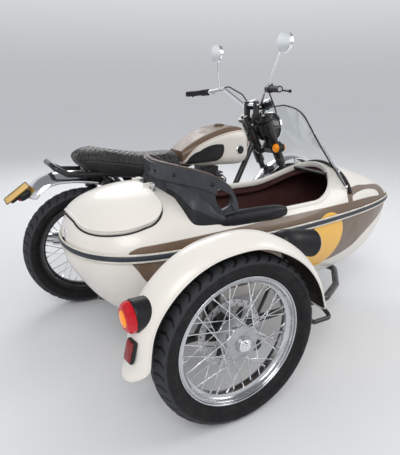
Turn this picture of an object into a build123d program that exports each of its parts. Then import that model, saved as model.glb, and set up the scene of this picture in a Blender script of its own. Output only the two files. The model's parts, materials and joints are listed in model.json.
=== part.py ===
"""Retro motorcycle with a sidecar bolted on its right side, standing on its three wheels.

Millimetres. +X points forwards, +Y to the rider's left, +Z up. Until the last step the origin is
on the ground under the rear axle; the pieces are then moved so that it is on the ground under the
middle of the whole outfit.
"""
import os
from math import cos, radians, sin, sqrt, tan

from build123d import *

# Driving dimensions of the motorcycle
WHEELBASE = 1451
TYRE_R = 323.5                  # rear wheel and sidecar wheel
TYRE_HALF_W = 54
RIM_R = 246
FRONT_TYRE_R = 331
FRONT_TYRE_HALF_W = 48
FRONT_RIM_R = 257
RIM_HALF_W = 36
HUB_HALF_W = 48
AXLE_R = 8
RUNNING_GAP = 0.05              # between an axle and the hub that turns on it
SEAT_GAP = 0.3                  # between a piece and what it rests on
SPOKES = 36
SPOKE_R = 2.4
CASTER = 27                     # steering axis, degrees from upright
TRAIL = 100
STEER_REST = 6                  # the bars stand turned this far to the left, degrees
FORK_HALF_GAP = 98              # from the centre plane to a fork leg
FORK_LEG_R = 27
FORK_TUBE_R = 19
BAR_R = 11
FRAME_TUBE_R = 15
TANK_HALF_W = 138
GRIP_R = 17

# Driving dimensions of the sidecar
SIDE_AXLE_X = 208               # how far the sidecar wheel leads the rear wheel
TRACK = 1183                    # from the rear wheel's plane to the sidecar wheel's plane
BODY_Y = -610                   # centre plane of the sidecar's body
WAIST_Z = 575                   # height of the rub rail
BODY_HALF_W = 325
BODY_TAIL_X = -235
BODY_NOSE_X = 1605
BODY_WIDEST_X = 360
BODY_WALL = 7
RAIL_HEIGHT = 25
RAIL_DEPTH = 10
CHASSIS_RAIL_R = 18
GUARD_R = 381                   # crown of the sidecar mudguard
GUARD_HALF_W = 80
GUARD_DROP = 42
GUARD_WALL = 5
OPENING_REAR_HALF_W = 280
OPENING_FRONT_HALF_W = 248
OPENING_REAR_LENGTH = 190
OPENING_FRONT_LENGTH = 250
OPENING_TAIL_X = 175
OPENING_NOSE_X = 1085


def wheel_plane(x, y, z):
    """Plane whose local z runs along a wheel's axle, towards +Y."""
    return Plane(origin=(x, y, z), x_dir=(1, 0, 0), z_dir=(0, 1, 0))


def rod(a, b, r, inner=0):
    """Round bar or tube from point a to point b."""
    a, b = Vector(*a), Vector(*b)
    base = Plane(origin=a, z_dir=b - a)
    section = Circle(r) - Circle(inner) if inner else Circle(r)
    return extrude(base * section, amount=(b - a).length)


def bent_tube(points, r, bend):
    """Round tube along straight runs joined by tangent arcs."""
    path = FilletPolyline(*points, radius=bend)
    return sweep((path ^ 0) * Circle(r), path=path)


def revolved(profile, plane, angle=360):
    """Turns a closed list of (radius, offset along the axle) points about the plane's z axis."""
    turn = Plane(origin=plane.origin, x_dir=plane.x_dir, z_dir=-plane.y_dir)
    face = make_face(Polyline(*profile, close=True))
    return revolve(turn * face, axis=Axis(plane.origin, plane.z_dir), revolution_arc=angle)


def rounded_box(x, y, z, r):
    """Box (low, high) in each direction with its upright edges rounded."""
    width, depth = x[1] - x[0], y[1] - y[0]
    base = Pos((x[0] + x[1]) / 2, (y[0] + y[1]) / 2, z[0])
    return extrude(base * RectangleRounded(width, depth, r), amount=z[1] - z[0])


def largest(shape):
    """Biggest solid of a shape."""
    return shape.solids().sort_by(SortBy.VOLUME)[-1]


def section_loft(rows, y=0):
    """Loft through rounded rectangles that stand across X.

    Columns of rows: x, half width, bottom z, top z, corner radius.
    """
    faces = []
    for x, half_w, bottom, top, corner in rows:
        plane = Plane(origin=(x, y, (bottom + top) / 2), x_dir=(0, 1, 0), z_dir=(1, 0, 0))
        faces.append(plane * RectangleRounded(2 * half_w, top - bottom, corner))
    return loft(faces)


# Wheels: tyre, spoked rim on its hub, axle

def tyre(plane, tyre_r, half_w, rim_r):
    """Tyre with a round crown and bulged walls, seated between the rim's flanges."""
    seat = rim_r - 14 + SEAT_GAP
    bead, flange = RIM_HALF_W - 5.5, RIM_HALF_W - 3
    edge = make_face([
        Line((seat, -bead), (seat, bead)),
        Line((seat, bead), (rim_r + 2, flange)),
        ThreePointArc((rim_r + 2, flange), (rim_r + 26, half_w - 3), (tyre_r - 24, half_w)),
        ThreePointArc((tyre_r - 24, half_w), (tyre_r - 12, half_w - 10), (tyre_r - 5, half_w - 25)),
        ThreePointArc((tyre_r - 5, half_w - 25), (tyre_r, 0), (tyre_r - 5, 25 - half_w)),
        ThreePointArc((tyre_r - 5, 25 - half_w), (tyre_r - 12, 10 - half_w), (tyre_r - 24, -half_w)),
        ThreePointArc((tyre_r - 24, -half_w), (rim_r + 26, 3 - half_w), (rim_r + 2, -flange)),
        Line((rim_r + 2, -flange), (seat, -bead)),
    ])
    turn = Plane(origin=plane.origin, x_dir=plane.x_dir, z_dir=-plane.y_dir)
    return revolve(turn * edge, axis=Axis(plane.origin, plane.z_dir))


def wheel(plane, rim_r, disc_side=0, disc_r=0, sprocket_side=0, sprocket_r=0):
    """Rim with a dropped centre, hub with two flanges, crossed spokes, brake disc or sprocket."""
    outer, lip = RIM_HALF_W, rim_r
    well = rim_r - 32
    rim = revolved([
        (lip, outer), (lip - 17, outer - 2), (lip - 19, 17), (well, 12), (well, -12),
        (lip - 19, -17), (lip - 17, 2 - outer), (lip, -outer), (lip, 3 - outer),
        (lip - 14, 5 - outer), (lip - 15, -14), (well + 4, -9), (well + 4, 9),
        (lip - 15, 14), (lip - 14, outer - 5), (lip, outer - 3)], plane)
    bore = AXLE_R + RUNNING_GAP
    flange_r, flange_y = 66, 30
    hub = revolved([
        (bore, -HUB_HALF_W), (26, -HUB_HALF_W), (30, -flange_y - 8), (flange_r, -flange_y - 3),
        (flange_r, 3 - flange_y), (40, 8 - flange_y), (36, 0), (40, flange_y - 8),
        (flange_r, flange_y - 3), (flange_r, flange_y + 3), (30, flange_y + 8), (26, HUB_HALF_W),
        (bore, HUB_HALF_W)], plane)
    spokes = []
    for i in range(SPOKES):
        side = 1 if i % 2 else -1
        cross = 50 if i % 4 < 2 else -50
        foot = radians(i * 360 / SPOKES)
        head = foot + radians(cross)
        a = Vector((flange_r - 6) * cos(head), (flange_r - 6) * sin(head), side * flange_y)
        b = Vector((well + 1) * cos(foot), (well + 1) * sin(foot), side * 4)
        bar = extrude(Plane(origin=a, z_dir=b - a) * RegularPolygon(SPOKE_R, 4), amount=(b - a).length)
        spokes.append(plane.location * bar)
    body = rim + [hub] + spokes
    if disc_r:
        y0 = disc_side * (HUB_HALF_W - 6)
        disc = revolved([(22, y0), (disc_r, y0), (disc_r, y0 + 4), (22, y0 + 4)], plane)
        gaps = [plane.location * Pos(0.5 * disc_r * cos(radians(a)), 0.5 * disc_r * sin(radians(a)), y0 - 5)
                * Cylinder(0.13 * disc_r, 30) for a in range(0, 360, 60)]
        body = body + (disc - gaps)
    if sprocket_r:
        y0 = sprocket_side * (HUB_HALF_W - 3) - 3
        body = body + revolved([(22, y0), (sprocket_r, y0), (sprocket_r, y0 + 6), (22, y0 + 6)], plane)
    return body


# Sidecar body: half ellipses standing on the waist or hanging from it

def body_half_width(x):
    """Half width of the waist line, blunt at the tail and drawn out at the nose."""
    if x < BODY_WIDEST_X:
        share, power = (BODY_WIDEST_X - x) / (BODY_WIDEST_X - BODY_TAIL_X), 4.5
    else:
        share, power = (x - BODY_WIDEST_X) / (BODY_NOSE_X - BODY_WIDEST_X), 1.55
    return BODY_HALF_W * sqrt(max(0, 1 - min(share, 1) ** power))


# Columns: x, height of the deck's crown above the waist, depth of the hull's keel below it
BODY_STATIONS = [
    (-233, 30, 40),
    (-224, 72, 82),
    (-200, 108, 130),
    (-150, 142, 208),
    (-70, 170, 295),
    (60, 190, 358),
    (230, 178, 386),
    (500, 152, 395),
    (780, 162, 395),
    (960, 196, 394),
    (1110, 213, 388),
    (1260, 174, 372),
    (1400, 126, 325),
    (1500, 84, 264),
    (1565, 52, 190),
    (1595, 26, 110),
]


def body_half(top, inset=0):
    """Upper (deck) or lower (hull) half of the body as a solid, smaller all round by inset."""
    faces = []
    for x, crown, keel in BODY_STATIONS:
        height = (crown if top else keel) - inset
        half_w = body_half_width(x) - inset
        if half_w < 8 or height < 8:
            continue
        plane = Plane(origin=(x, BODY_Y, WAIST_Z), x_dir=(0, 1, 0), z_dir=(1, 0, 0))
        arc = EllipticalCenterArc((0, 0), half_w, height, 0 if top else 180, arc_size=180)
        faces.append(plane * make_face([arc, Line(arc @ 1, arc @ 0)]))
    return loft(faces)


def waist_outline(grow):
    """Face of the body's plan at the waist, larger all round by grow."""
    return Pos(0, 0, -WAIST_Z) * offset(deck_outer.faces().sort_by(Axis.Z)[0], grow)


def opening_outline(grow=0):
    """Face of the cockpit's opening in plan: tapering sides between two half ellipses."""
    rear_w, front_w = OPENING_REAR_HALF_W + grow, OPENING_FRONT_HALF_W + grow
    rear_x, front_x = OPENING_TAIL_X + OPENING_REAR_LENGTH, OPENING_NOSE_X - OPENING_FRONT_LENGTH
    rear = EllipticalCenterArc((rear_x, 0), OPENING_REAR_LENGTH + grow, rear_w, 90, arc_size=180)
    front = EllipticalCenterArc((front_x, 0), OPENING_FRONT_LENGTH + grow, front_w, -90, arc_size=180)
    face = make_face([rear, front, Line(rear @ 1, front @ 0), Line(front @ 1, rear @ 0)])
    return Pos(0, BODY_Y) * face


LID_TAIL_X, LID_NOSE_X, LID_HALF_W = -202, 98, 262
LID_SKIRT = 14                  # height of the lid's rolled edge
LID_GAP = 6
LID_HINGE_X, LID_HINGE_Z = 118, 782
LID_PIN_R = 5


def lid_outline(grow=0):
    """Face of the boot lid in plan: blunt in front, rounded behind."""
    half_w, nose, tail = LID_HALF_W + grow, LID_NOSE_X + grow, LID_TAIL_X - grow
    mid = -50
    face = make_face([
        Line((nose, half_w - 90), (nose, 90 - half_w)),
        ThreePointArc((nose, 90 - half_w), (nose - 20, 26 - half_w), (mid + 60, -half_w)),
        ThreePointArc((mid + 60, -half_w), (tail + 47, -0.72 * half_w), (tail, -0.22 * half_w)),
        ThreePointArc((tail, -0.22 * half_w), (tail - 4, 0), (tail, 0.22 * half_w)),
        ThreePointArc((tail, 0.22 * half_w), (tail + 47, 0.72 * half_w), (mid + 60, half_w)),
        ThreePointArc((mid + 60, half_w), (nose - 20, half_w - 26), (nose, half_w - 90)),
    ])
    return Pos(0, BODY_Y) * face


def upright(face, low=WAIST_Z - 450, high=1300):
    """Prism on a plan face between two heights."""
    return extrude(Pos(0, 0, low) * face, amount=high - low, dir=(0, 0, 1))


def slab_above(low, thick):
    """Wide flat slab that starts at a height."""
    return Pos(0, 0, low) * Box(6000, 6000, thick, align=(Align.CENTER, Align.CENTER, Align.MIN))


deck_outer, hull_outer = body_half(True), body_half(False)
deck_inner, hull_inner = body_half(True, BODY_WALL), body_half(False, BODY_WALL)
BOOT_EDGE = 26                  # how far the boot's opening stays inside the lid

# Deck: the shell with the boot's opening and the cockpit's, whose rim turns down
RIM_DEPTH, RIM_WALL = 52, 8
turned_rim = upright(opening_outline(RIM_WALL)) - Pos(0, 0, -RIM_DEPTH) * deck_outer
deck_space = deck_inner - turned_rim
sidecar_deck = deck_outer - deck_space - upright(opening_outline()) - upright(lid_outline(-BOOT_EDGE))
sidecar_hull = hull_outer - hull_inner


def waist_band(grow, height):
    """Band round the waist as one solid, larger than the body all round by grow."""
    faces = []
    ends = [(BODY_STATIONS[0][0] - grow, BODY_STATIONS[0][0]), (BODY_STATIONS[-1][0] + grow, BODY_STATIONS[-1][0])]
    middle = [(row[0], row[0]) for row in BODY_STATIONS]
    for x, body_x in sorted(ends + middle[1:-1]):
        plane = Plane(origin=(x, BODY_Y, WAIST_Z), x_dir=(0, 1, 0), z_dir=(1, 0, 0))
        faces.append(plane * Rectangle(2 * (body_half_width(body_x) + grow), height))
    return loft(faces)


rub_rail = largest(waist_band(RAIL_DEPTH, RAIL_HEIGHT) - waist_band(2 * SEAT_GAP, 3 * RAIL_HEIGHT))

# Boot lid: a skin with a rolled edge, on a hinge pin in front
lid_lift = Pos(0, 0, LID_GAP)
lid_cap = (lid_lift * Pos(0, 0, LID_SKIRT) * deck_outer - lid_lift * Pos(0, 0, LID_SKIRT - 5) * deck_outer) \
    & upright(lid_outline())
lid_edge = (lid_lift * Pos(0, 0, LID_SKIRT) * deck_outer - lid_lift * deck_outer) \
    & (upright(lid_outline()) - upright(lid_outline(-6)))
hinge_y = [BODY_Y - 60, BODY_Y + 60]
lid_ears = [rounded_box((LID_NOSE_X - 14, LID_HINGE_X + 9), (y - 9, y + 9), (LID_HINGE_Z - 9, LID_HINGE_Z + 9), 3)
            - rod((LID_HINGE_X, y - 20, LID_HINGE_Z), (LID_HINGE_X, y + 20, LID_HINGE_Z), LID_PIN_R + RUNNING_GAP)
            for y in hinge_y]
boot_lid = lid_cap + lid_edge + [ear - lid_lift * Pos(0, 0, LID_SKIRT - 5) * deck_outer for ear in lid_ears]
hinge_posts = []
for y in hinge_y:
    pin = rod((LID_HINGE_X, y - 20, LID_HINGE_Z), (LID_HINGE_X, y + 20, LID_HINGE_Z), LID_PIN_R)
    ends = [rounded_box((LID_HINGE_X - 9, LID_HINGE_X + 9), (y + s * 17 - 4, y + s * 17 + 4),
                        (WAIST_Z + 150, LID_HINGE_Z + 9), 2) for s in (-1, 1)]
    hinge_posts.append((pin + ends) - Pos(0, 0, SEAT_GAP) * deck_outer)

# Cockpit: bulkhead, floor, seat, backrest, padded arm, grab handle
FLOOR_Z, FLOOR_WALL = 232, 10
BULKHEAD_X, BULKHEAD_WALL = 158, 12
cavity = body_half(True, BODY_WALL + SEAT_GAP) + body_half(False, BODY_WALL + SEAT_GAP)
floor_board = cavity & slab_above(FLOOR_Z - FLOOR_WALL, FLOOR_WALL)
bulkhead = cavity & slab_above(FLOOR_Z + SEAT_GAP, 1000) & (Pos(BULKHEAD_X, BODY_Y) * Box(BULKHEAD_WALL, 900, 3000))
bulkhead = bulkhead - upright(opening_outline(RIM_WALL + SEAT_GAP))
SEAT_HALF_W, PLINTH_HALF_W, PLINTH_TOP_Z = 225, 128, 300
seat_plinth = rounded_box((200, 600), (BODY_Y - PLINTH_HALF_W, BODY_Y + PLINTH_HALF_W),
                          (FLOOR_Z + SEAT_GAP, PLINTH_TOP_Z), 20)
seat_blank = section_loft([
    (190, SEAT_HALF_W - 20, 302, 410, 40), (260, SEAT_HALF_W, 299, 432, 45),
    (520, SEAT_HALF_W, 299, 436, 45), (640, SEAT_HALF_W - 15, 303, 418, 45)], BODY_Y)
sidecar_seat = seat_blank & slab_above(PLINTH_TOP_Z + SEAT_GAP, 400)

# Columns: z, half width, x at the back, x in front, corner radius
BACKREST_ROWS = [(405, 200, 168, 325, 40), (560, 222, 168, 315, 45), (740, 222, 168, 274, 40), (832, 205, 172, 240, 30)]
back_faces = [Pos((x0 + x1) / 2, BODY_Y, z) * RectangleRounded(x1 - x0, 2 * w, r) for z, w, x0, x1, r in BACKREST_ROWS]
backrest = (loft(back_faces) & upright(opening_outline(-1))) - Pos(0, 0, SEAT_GAP) * sidecar_seat

# Collar: the moulded shell round the back of the cockpit
COLLAR_OUT, COLLAR_WALL = 18, 14
COLLAR_FRONT_X = 385
collar_ring = upright(opening_outline(COLLAR_OUT)) - upright(opening_outline(COLLAR_OUT - COLLAR_WALL))
collar_side = Plane.XZ * make_face([
    Polyline((130, 560), (130, 866), (175, 866)),
    ThreePointArc((175, 866), (275, 842), (345, 795)),
    ThreePointArc((345, 795), (372, 750), (COLLAR_FRONT_X, 700)),
    Polyline((COLLAR_FRONT_X, 700), (330, 690), (300, 560), (130, 560))])
collar_blank = collar_ring & Pos(0, 200, 0) * extrude(collar_side, amount=1600)
hand_hole = Plane.XZ * make_face([
    Polyline((298, 795), (340, 772)), ThreePointArc((340, 772), (356, 742), (340, 716)),
    Polyline((340, 716), (318, 706)), ThreePointArc((318, 706), (296, 742), (298, 795))])
hand_holes = Pos(0, 200, 0) * extrude(hand_hole, amount=1600)
collar_band = (upright(opening_outline(COLLAR_OUT + 9)) - upright(opening_outline(COLLAR_OUT - COLLAR_WALL - 4))) \
    & (Pos(0, 200, 0) * extrude(collar_side, amount=1600)) - Pos(0, 200, -62) * extrude(collar_side, amount=1600)
seat_collar = (collar_blank + collar_band) - hand_holes - Pos(0, 0, SEAT_GAP) * deck_outer
seat_collar = largest(seat_collar)

ARM_X, ARM_Z = (332, 655), 652
armrest_y = BODY_Y - OPENING_REAR_HALF_W + 10
armrest = Plane(origin=(ARM_X[0], armrest_y, ARM_Z), x_dir=(0, 1, 0), z_dir=(1, 0, 0)) * RectangleRounded(66, 58, 24)
armrest = extrude(armrest, amount=ARM_X[1] - ARM_X[0])
armrest = fillet(armrest.faces().filter_by(Axis.X).edges(), 12) - (
    (Pos(0, 0, SEAT_GAP) * deck_outer) & upright(waist_outline(1) - opening_outline(-1)))
armrest = largest(armrest)

HANDLE_Z, HANDLE_HALF = 752, 118
handle_x = OPENING_NOSE_X - 52
grab_handle = bent_tube([
    (handle_x + 34, BODY_Y - HANDLE_HALF, HANDLE_Z), (handle_x, BODY_Y - HANDLE_HALF, HANDLE_Z),
    (handle_x, BODY_Y + HANDLE_HALF, HANDLE_Z), (handle_x + 34, BODY_Y + HANDLE_HALF, HANDLE_Z)], 9, 16)
grab_handle = grab_handle & upright(opening_outline(-SEAT_GAP))

# Windscreen: one thin curved sheet leaning back from the deck, with its rubber foot
SCREEN_HALF_W, SCREEN_FOOT_X, SCREEN_SAG = 235, 1050, 190
SCREEN_LEAN, SCREEN_TOP_Z, SCREEN_WALL = 43, 1080, 4


def screen_plan(grow, foot):
    """Half-round plan of the screen at a height, thicker outwards by grow."""
    half_w, nose = SCREEN_HALF_W + grow, SCREEN_FOOT_X + SCREEN_SAG + grow
    return Pos(0, BODY_Y, foot) * make_face([
        EllipticalCenterArc((SCREEN_FOOT_X, 0), nose - SCREEN_FOOT_X, half_w, -90, arc_size=180),
        Line((SCREEN_FOOT_X, half_w), (SCREEN_FOOT_X, -half_w))])


def screen_prism(grow, low, high):
    """Leaning prism on the screen's plan."""
    rise = high - low
    lean = Vector(-tan(radians(SCREEN_LEAN)) * rise, 0, rise)
    at_low = Pos(-tan(radians(SCREEN_LEAN)) * (low - 650), 0, 0) * screen_plan(grow, low)
    return Solid.extrude(at_low.face(), lean)


screen_front = Plane.YZ * Pos(BODY_Y, 0) * make_face([
    Line((-SCREEN_HALF_W - 30, 500), (SCREEN_HALF_W + 30, 500)),
    Line((SCREEN_HALF_W + 30, 500), (SCREEN_HALF_W + 30, 900)),
    ThreePointArc((SCREEN_HALF_W + 30, 900), (170, 1040), (0, SCREEN_TOP_Z)),
    ThreePointArc((0, SCREEN_TOP_Z), (-170, 1040), (-SCREEN_HALF_W - 30, 900)),
    Line((-SCREEN_HALF_W - 30, 900), (-SCREEN_HALF_W - 30, 500))])
screen_front = Pos(300, 0, 0) * extrude(screen_front, amount=1400)


def screen_shell(wall, low, high, grow=0):
    """Sheet of the screen between two heights, without the flat back of its plan."""
    shell = screen_prism(grow, low, high) - screen_prism(grow - wall, low, high)
    cut_low, cut_high = low - 20, high + 20
    rise = cut_high - cut_low
    back = Pos(-tan(radians(SCREEN_LEAN)) * (cut_low - 650), 0, 0) * (
        Pos(SCREEN_FOOT_X - 45, BODY_Y, cut_low) * Rectangle(100, 700))
    return shell - Solid.extrude(back.face(), Vector(-tan(radians(SCREEN_LEAN)) * rise, 0, rise))


windscreen = (screen_shell(SCREEN_WALL, 600, 1120) & screen_front) - Pos(0, 0, 6) * deck_outer
screen_foot = (screen_shell(SCREEN_WALL + 10, 600, 900, 5) - screen_shell(SCREEN_WALL + 0.6, 590, 950, 0.3)) \
    & (Pos(0, 0, 24) * deck_outer - Pos(0, 0, SEAT_GAP) * deck_outer)

# Sidecar mudguard: one crowned arch with stays, its lamps and a reflector
side_hub = wheel_plane(SIDE_AXLE_X, -TRACK, TYRE_R)
GUARD_FRONT, GUARD_REAR = -13, 197      # ends of the arch, degrees above the forward direction


def guard_section(crown, half_w, drop, wall):
    """Crowned section of a mudguard in (radius, offset along the axle)."""
    return make_face([
        ThreePointArc((crown - drop, -half_w), (crown, 0), (crown - drop, half_w)),
        Line((crown - drop, half_w), (crown - drop - 8, half_w - wall)),
        ThreePointArc((crown - drop - 8, half_w - wall), (crown - wall, 0), (crown - drop - 8, wall - half_w)),
        Line((crown - drop - 8, wall - half_w), (crown - drop, -half_w))])


def guard(plane, section, start, end):
    """Arch of a section about a wheel's axle between two angles above the forward direction."""
    first = Plane(origin=plane.origin, x_dir=Vector(cos(radians(start)), 0, sin(radians(start))),
                  z_dir=Vector(sin(radians(start)), 0, -cos(radians(start))))
    return revolve(first * section, axis=Axis(plane.origin, (0, -1, 0)), revolution_arc=end - start)


side_guard = guard(side_hub, guard_section(GUARD_R, GUARD_HALF_W, GUARD_DROP, GUARD_WALL), GUARD_FRONT, GUARD_REAR)


def on_guard(angle, radius, dy=0):
    """Point beside the sidecar wheel, by angle and distance from its axle."""
    return (SIDE_AXLE_X + radius * cos(radians(angle)), -TRACK + dy, TYRE_R + radius * sin(radians(angle)))


def guard_core(plane, crown, half_w, drop):
    """Everything inside a mudguard's outer skin, all the way round, for cutting what rests on it."""
    crown, half_w = crown + SEAT_GAP, half_w + SEAT_GAP
    profile = make_face([
        Line((100, -half_w), (crown - drop, -half_w)),
        ThreePointArc((crown - drop, -half_w), (crown, 0), (crown - drop, half_w)),
        Line((crown - drop, half_w), (100, half_w)),
        Line((100, half_w), (100, -half_w))])
    turn = Plane(origin=plane.origin, x_dir=(1, 0, 0), z_dir=(0, 0, -1))
    return revolve(turn * profile, axis=Axis(plane.origin, (0, 1, 0)))


side_core = guard_core(side_hub, GUARD_R, GUARD_HALF_W, GUARD_DROP)

# Lamps and reflector on the mudguard
LAMP_ANGLE, LAMP_R, LENS_WALL = 152, 34, 20
lamp_mouth = Vector(*on_guard(LAMP_ANGLE, 452, -8))
lamp_line = Vector(87, 0, 8).normalized()
rear_lamp = rod(lamp_mouth + lamp_line * SEAT_GAP, lamp_mouth + lamp_line * 90, LAMP_R + 3) - side_core
rear_lamp = rear_lamp.solids().sort_by(Axis.X)[0]
rear_lens = rod(lamp_mouth - lamp_line * LENS_WALL, lamp_mouth, LAMP_R)
reflector_plane = Plane(origin=on_guard(164, GUARD_R + 14, -4), x_dir=(0, 1, 0),
                        z_dir=(-cos(radians(16)), 0, sin(radians(16))))
reflector = extrude(reflector_plane * RectangleRounded(70, 48, 8), amount=9, both=True)
reflector = reflector + extrude(reflector_plane * RectangleRounded(24, 20, 4), amount=-60) - side_core
reflector = reflector.solids().sort_by(Axis.X)[0]

FRONT_LAMP_R = 40
front_lamp_y = -TRACK + GUARD_HALF_W + 52
front_lamp = rod((500, front_lamp_y, 585), (640, front_lamp_y, 565), FRONT_LAMP_R)
front_lamp = fillet(front_lamp.faces().sort_by(Axis.X)[0].edges(), 26)
front_lens = rod((640.3, front_lamp_y, 564.95), (652, front_lamp_y, 563.3), FRONT_LAMP_R - 3)
lamp_foot = rod((552, front_lamp_y, 574), on_guard(36, 360, 40), 9) - side_core
front_lamp = front_lamp + lamp_foot.solids().sort_by(Axis.Y)[-1]

# Motorcycle: steering head, backbone, cradle and seat rails
CRADLE_Y, CRADLE_Z, RAIL_Y = 110, 190, 94
HEAD_Z = (790, 915)             # the steering head tube, along the steering axis
axis_low = Vector(WHEELBASE + TRAIL, 0, 0)
axis_dir = Vector(-sin(radians(CASTER)), 0, cos(radians(CASTER)))


def on_axis(z):
    """Point of the steering axis at a height."""
    return axis_low + axis_dir * (z / axis_dir.Z)


STEM_R, HEAD_R = 16, 30
backbone_nose, backbone_tail = on_axis(868), Vector(560, 0, 702)
head_bore = rod(on_axis(700), on_axis(1000), STEM_R + RUNNING_GAP)


def cradle_tubes(grow=0):
    """Front downtube and the two cradle loops with the seat rails, fatter by grow."""
    tubes = [bent_tube([on_axis(812) + Vector(-26, 0, 4), (985, 0, 560), (955, 0, 260)], 18 + grow, 120)]
    for side in (1, -1):
        cradle = [(958, side * 14, 285), (930, side * 95, 205), (850, side * CRADLE_Y, CRADLE_Z),
                  (420, side * CRADLE_Y, CRADLE_Z), (380, side * 108, 260), (430, side * 100, 520),
                  (455, side * RAIL_Y, 704)]
        tubes.append(bent_tube(cradle, FRAME_TUBE_R + grow, 40))
        tubes.append(rod((400, side * 101, 380), (150, side * RAIL_Y, 722), FRAME_TUBE_R - 3 + grow))
    return tubes


def seat_rails(grow=0):
    """Rails under the seat, closed behind it by the tail loop, fatter by grow."""
    rails = [rod((540, side * 40, 704), (456, side * RAIL_Y, 704), FRAME_TUBE_R + grow) for side in (1, -1)]
    loop = [(458, RAIL_Y, 704), (-80, RAIL_Y, 742), (-136, 92, 775), (-150, 60, 790)]
    loop += [(x, -y, z) for x, y, z in reversed(loop)]
    return rails + [bent_tube(loop, FRAME_TUBE_R + grow, 26)]


PEG_X, PEG_Z, PEG_R = 470, 300, 13
PEG_ROOT_Y, PEG_TIP_Y = 116, 250
SHOCK_Y = 118
SHOCK_FOOT, SHOCK_TOP = (20, 352), (105, 694)
SHOCK_EYE_R, SHOCK_EYE_HALF = 17, 14
PIVOT_X, PIVOT_Z, PIVOT_HALF = 392, 330, 85
frame_parts = [rod(on_axis(HEAD_Z[0]), on_axis(HEAD_Z[1]), HEAD_R), rod(backbone_nose, backbone_tail, 20)]
frame_parts += cradle_tubes() + seat_rails()
for x, half_w, z, r in [(540, 52, 703, 14), (250, RAIL_Y, 719, 11), (400, 101, 400, 14), (860, CRADLE_Y, CRADLE_Z, 13),
                        (600, CRADLE_Y, CRADLE_Z, 13), (30, RAIL_Y, 734, 10)]:
    frame_parts.append(rod((x, -half_w, z), (x, half_w, z), r))
for side in (1, -1):
    x, z = SHOCK_TOP
    frame_parts.append(rod((x, side * RAIL_Y, z - 6), (x, side * RAIL_Y, z + 36), 10))
    frame_parts.append(rod((x, side * RAIL_Y, z), (x, side * (SHOCK_Y - SHOCK_EYE_HALF - SEAT_GAP), z), 9))
    frame_parts.append(rod((PIVOT_X, side * (PIVOT_HALF + SEAT_GAP), PIVOT_Z), (PIVOT_X, side * 106, PIVOT_Z), 22))
    frame_parts.append(rod((400, side * 104, 330), (PEG_X, side * 104, PEG_Z), 11))
    frame_parts.append(rod((PEG_X, side * 92, PEG_Z), (PEG_X, side * PEG_ROOT_Y, PEG_Z), PEG_R + 5))
    frame_parts.append(rod((PEG_X, side * PEG_ROOT_Y, PEG_Z), (PEG_X, side * PEG_TIP_Y, PEG_Z), PEG_R))
REAR_GUARD_R, REAR_GUARD_HALF_W, REAR_GUARD_DROP = 372, 76, 26
rear_hub = wheel_plane(0, 0, TYRE_R)
rear_core = guard_core(rear_hub, REAR_GUARD_R, REAR_GUARD_HALF_W, REAR_GUARD_DROP)
frame_parts.append(rounded_box((18, 42), (-22, 22), (680, 734), 5) - rear_core)
frame_parts += [rounded_box((x - 14, x + 14), (-60, 60), (CRADLE_Z, 228 - SEAT_GAP), 6) for x in (600, 860)]
motorcycle_frame = frame_parts[0]
for piece in frame_parts[1:]:
    motorcycle_frame = motorcycle_frame + piece
motorcycle_frame = motorcycle_frame - head_bore

# Sidecar chassis: two rails under the hull, cross tubes and struts to the motorcycle, the wheel's arm
CHASSIS_Z = 161
INNER_RAIL_Y, OUTER_RAIL_Y = -430, -880
STRUT_R = 13
motorcycle_tubes = cradle_tubes(SEAT_GAP)
rails = [
    bent_tube([(-60, INNER_RAIL_Y, CHASSIS_Z + 60), (80, INNER_RAIL_Y, CHASSIS_Z), (1120, INNER_RAIL_Y, CHASSIS_Z),
               (1290, BODY_Y, CHASSIS_Z), (1120, -790, CHASSIS_Z), (960, OUTER_RAIL_Y, CHASSIS_Z),
               (60, OUTER_RAIL_Y, CHASSIS_Z), (-60, OUTER_RAIL_Y, CHASSIS_Z + 60)], CHASSIS_RAIL_R, 60),
    rod((110, INNER_RAIL_Y, CHASSIS_Z), (110, OUTER_RAIL_Y, CHASSIS_Z), CHASSIS_RAIL_R - 2),
    rod((400, INNER_RAIL_Y, CHASSIS_Z), (400, OUTER_RAIL_Y - 120, CHASSIS_Z), CHASSIS_RAIL_R - 1),
    rod((820, INNER_RAIL_Y, CHASSIS_Z), (820, OUTER_RAIL_Y, CHASSIS_Z), CHASSIS_RAIL_R - 1),
    rod((820, -CRADLE_Y, CRADLE_Z), (820, INNER_RAIL_Y, CHASSIS_Z), CHASSIS_RAIL_R - 4),
    rod((520, -CRADLE_Y, CRADLE_Z), (520, INNER_RAIL_Y, CHASSIS_Z), CHASSIS_RAIL_R - 4),
    rod((223, -92, 622), (160, INNER_RAIL_Y, CHASSIS_Z), STRUT_R),
    rod((985, 0, 560), (880, INNER_RAIL_Y, CHASSIS_Z), STRUT_R),
    bent_tube([(SIDE_AXLE_X, OUTER_RAIL_Y, CHASSIS_Z), (SIDE_AXLE_X, -968, 300), (SIDE_AXLE_X, -985, 552)], STRUT_R, 60),
]
for x in (400, 820):
    for y in (BODY_Y - 110, BODY_Y + 110):
        block = rounded_box((x - 22, x + 22), (y - 30, y + 30), (CHASSIS_Z, CHASSIS_Z + 60), 6)
        rails.append(block - Pos(0, 0, -SEAT_GAP) * hull_outer)
sidecar_frame = rails[0]
for rail in rails[1:]:
    sidecar_frame = sidecar_frame + rail
for tube in motorcycle_tubes:
    sidecar_frame = sidecar_frame - tube
sidecar_frame = largest(sidecar_frame)
ARM_Y = OUTER_RAIL_Y - 150
AXLE_END = -TRACK - HUB_HALF_W - 14
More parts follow.
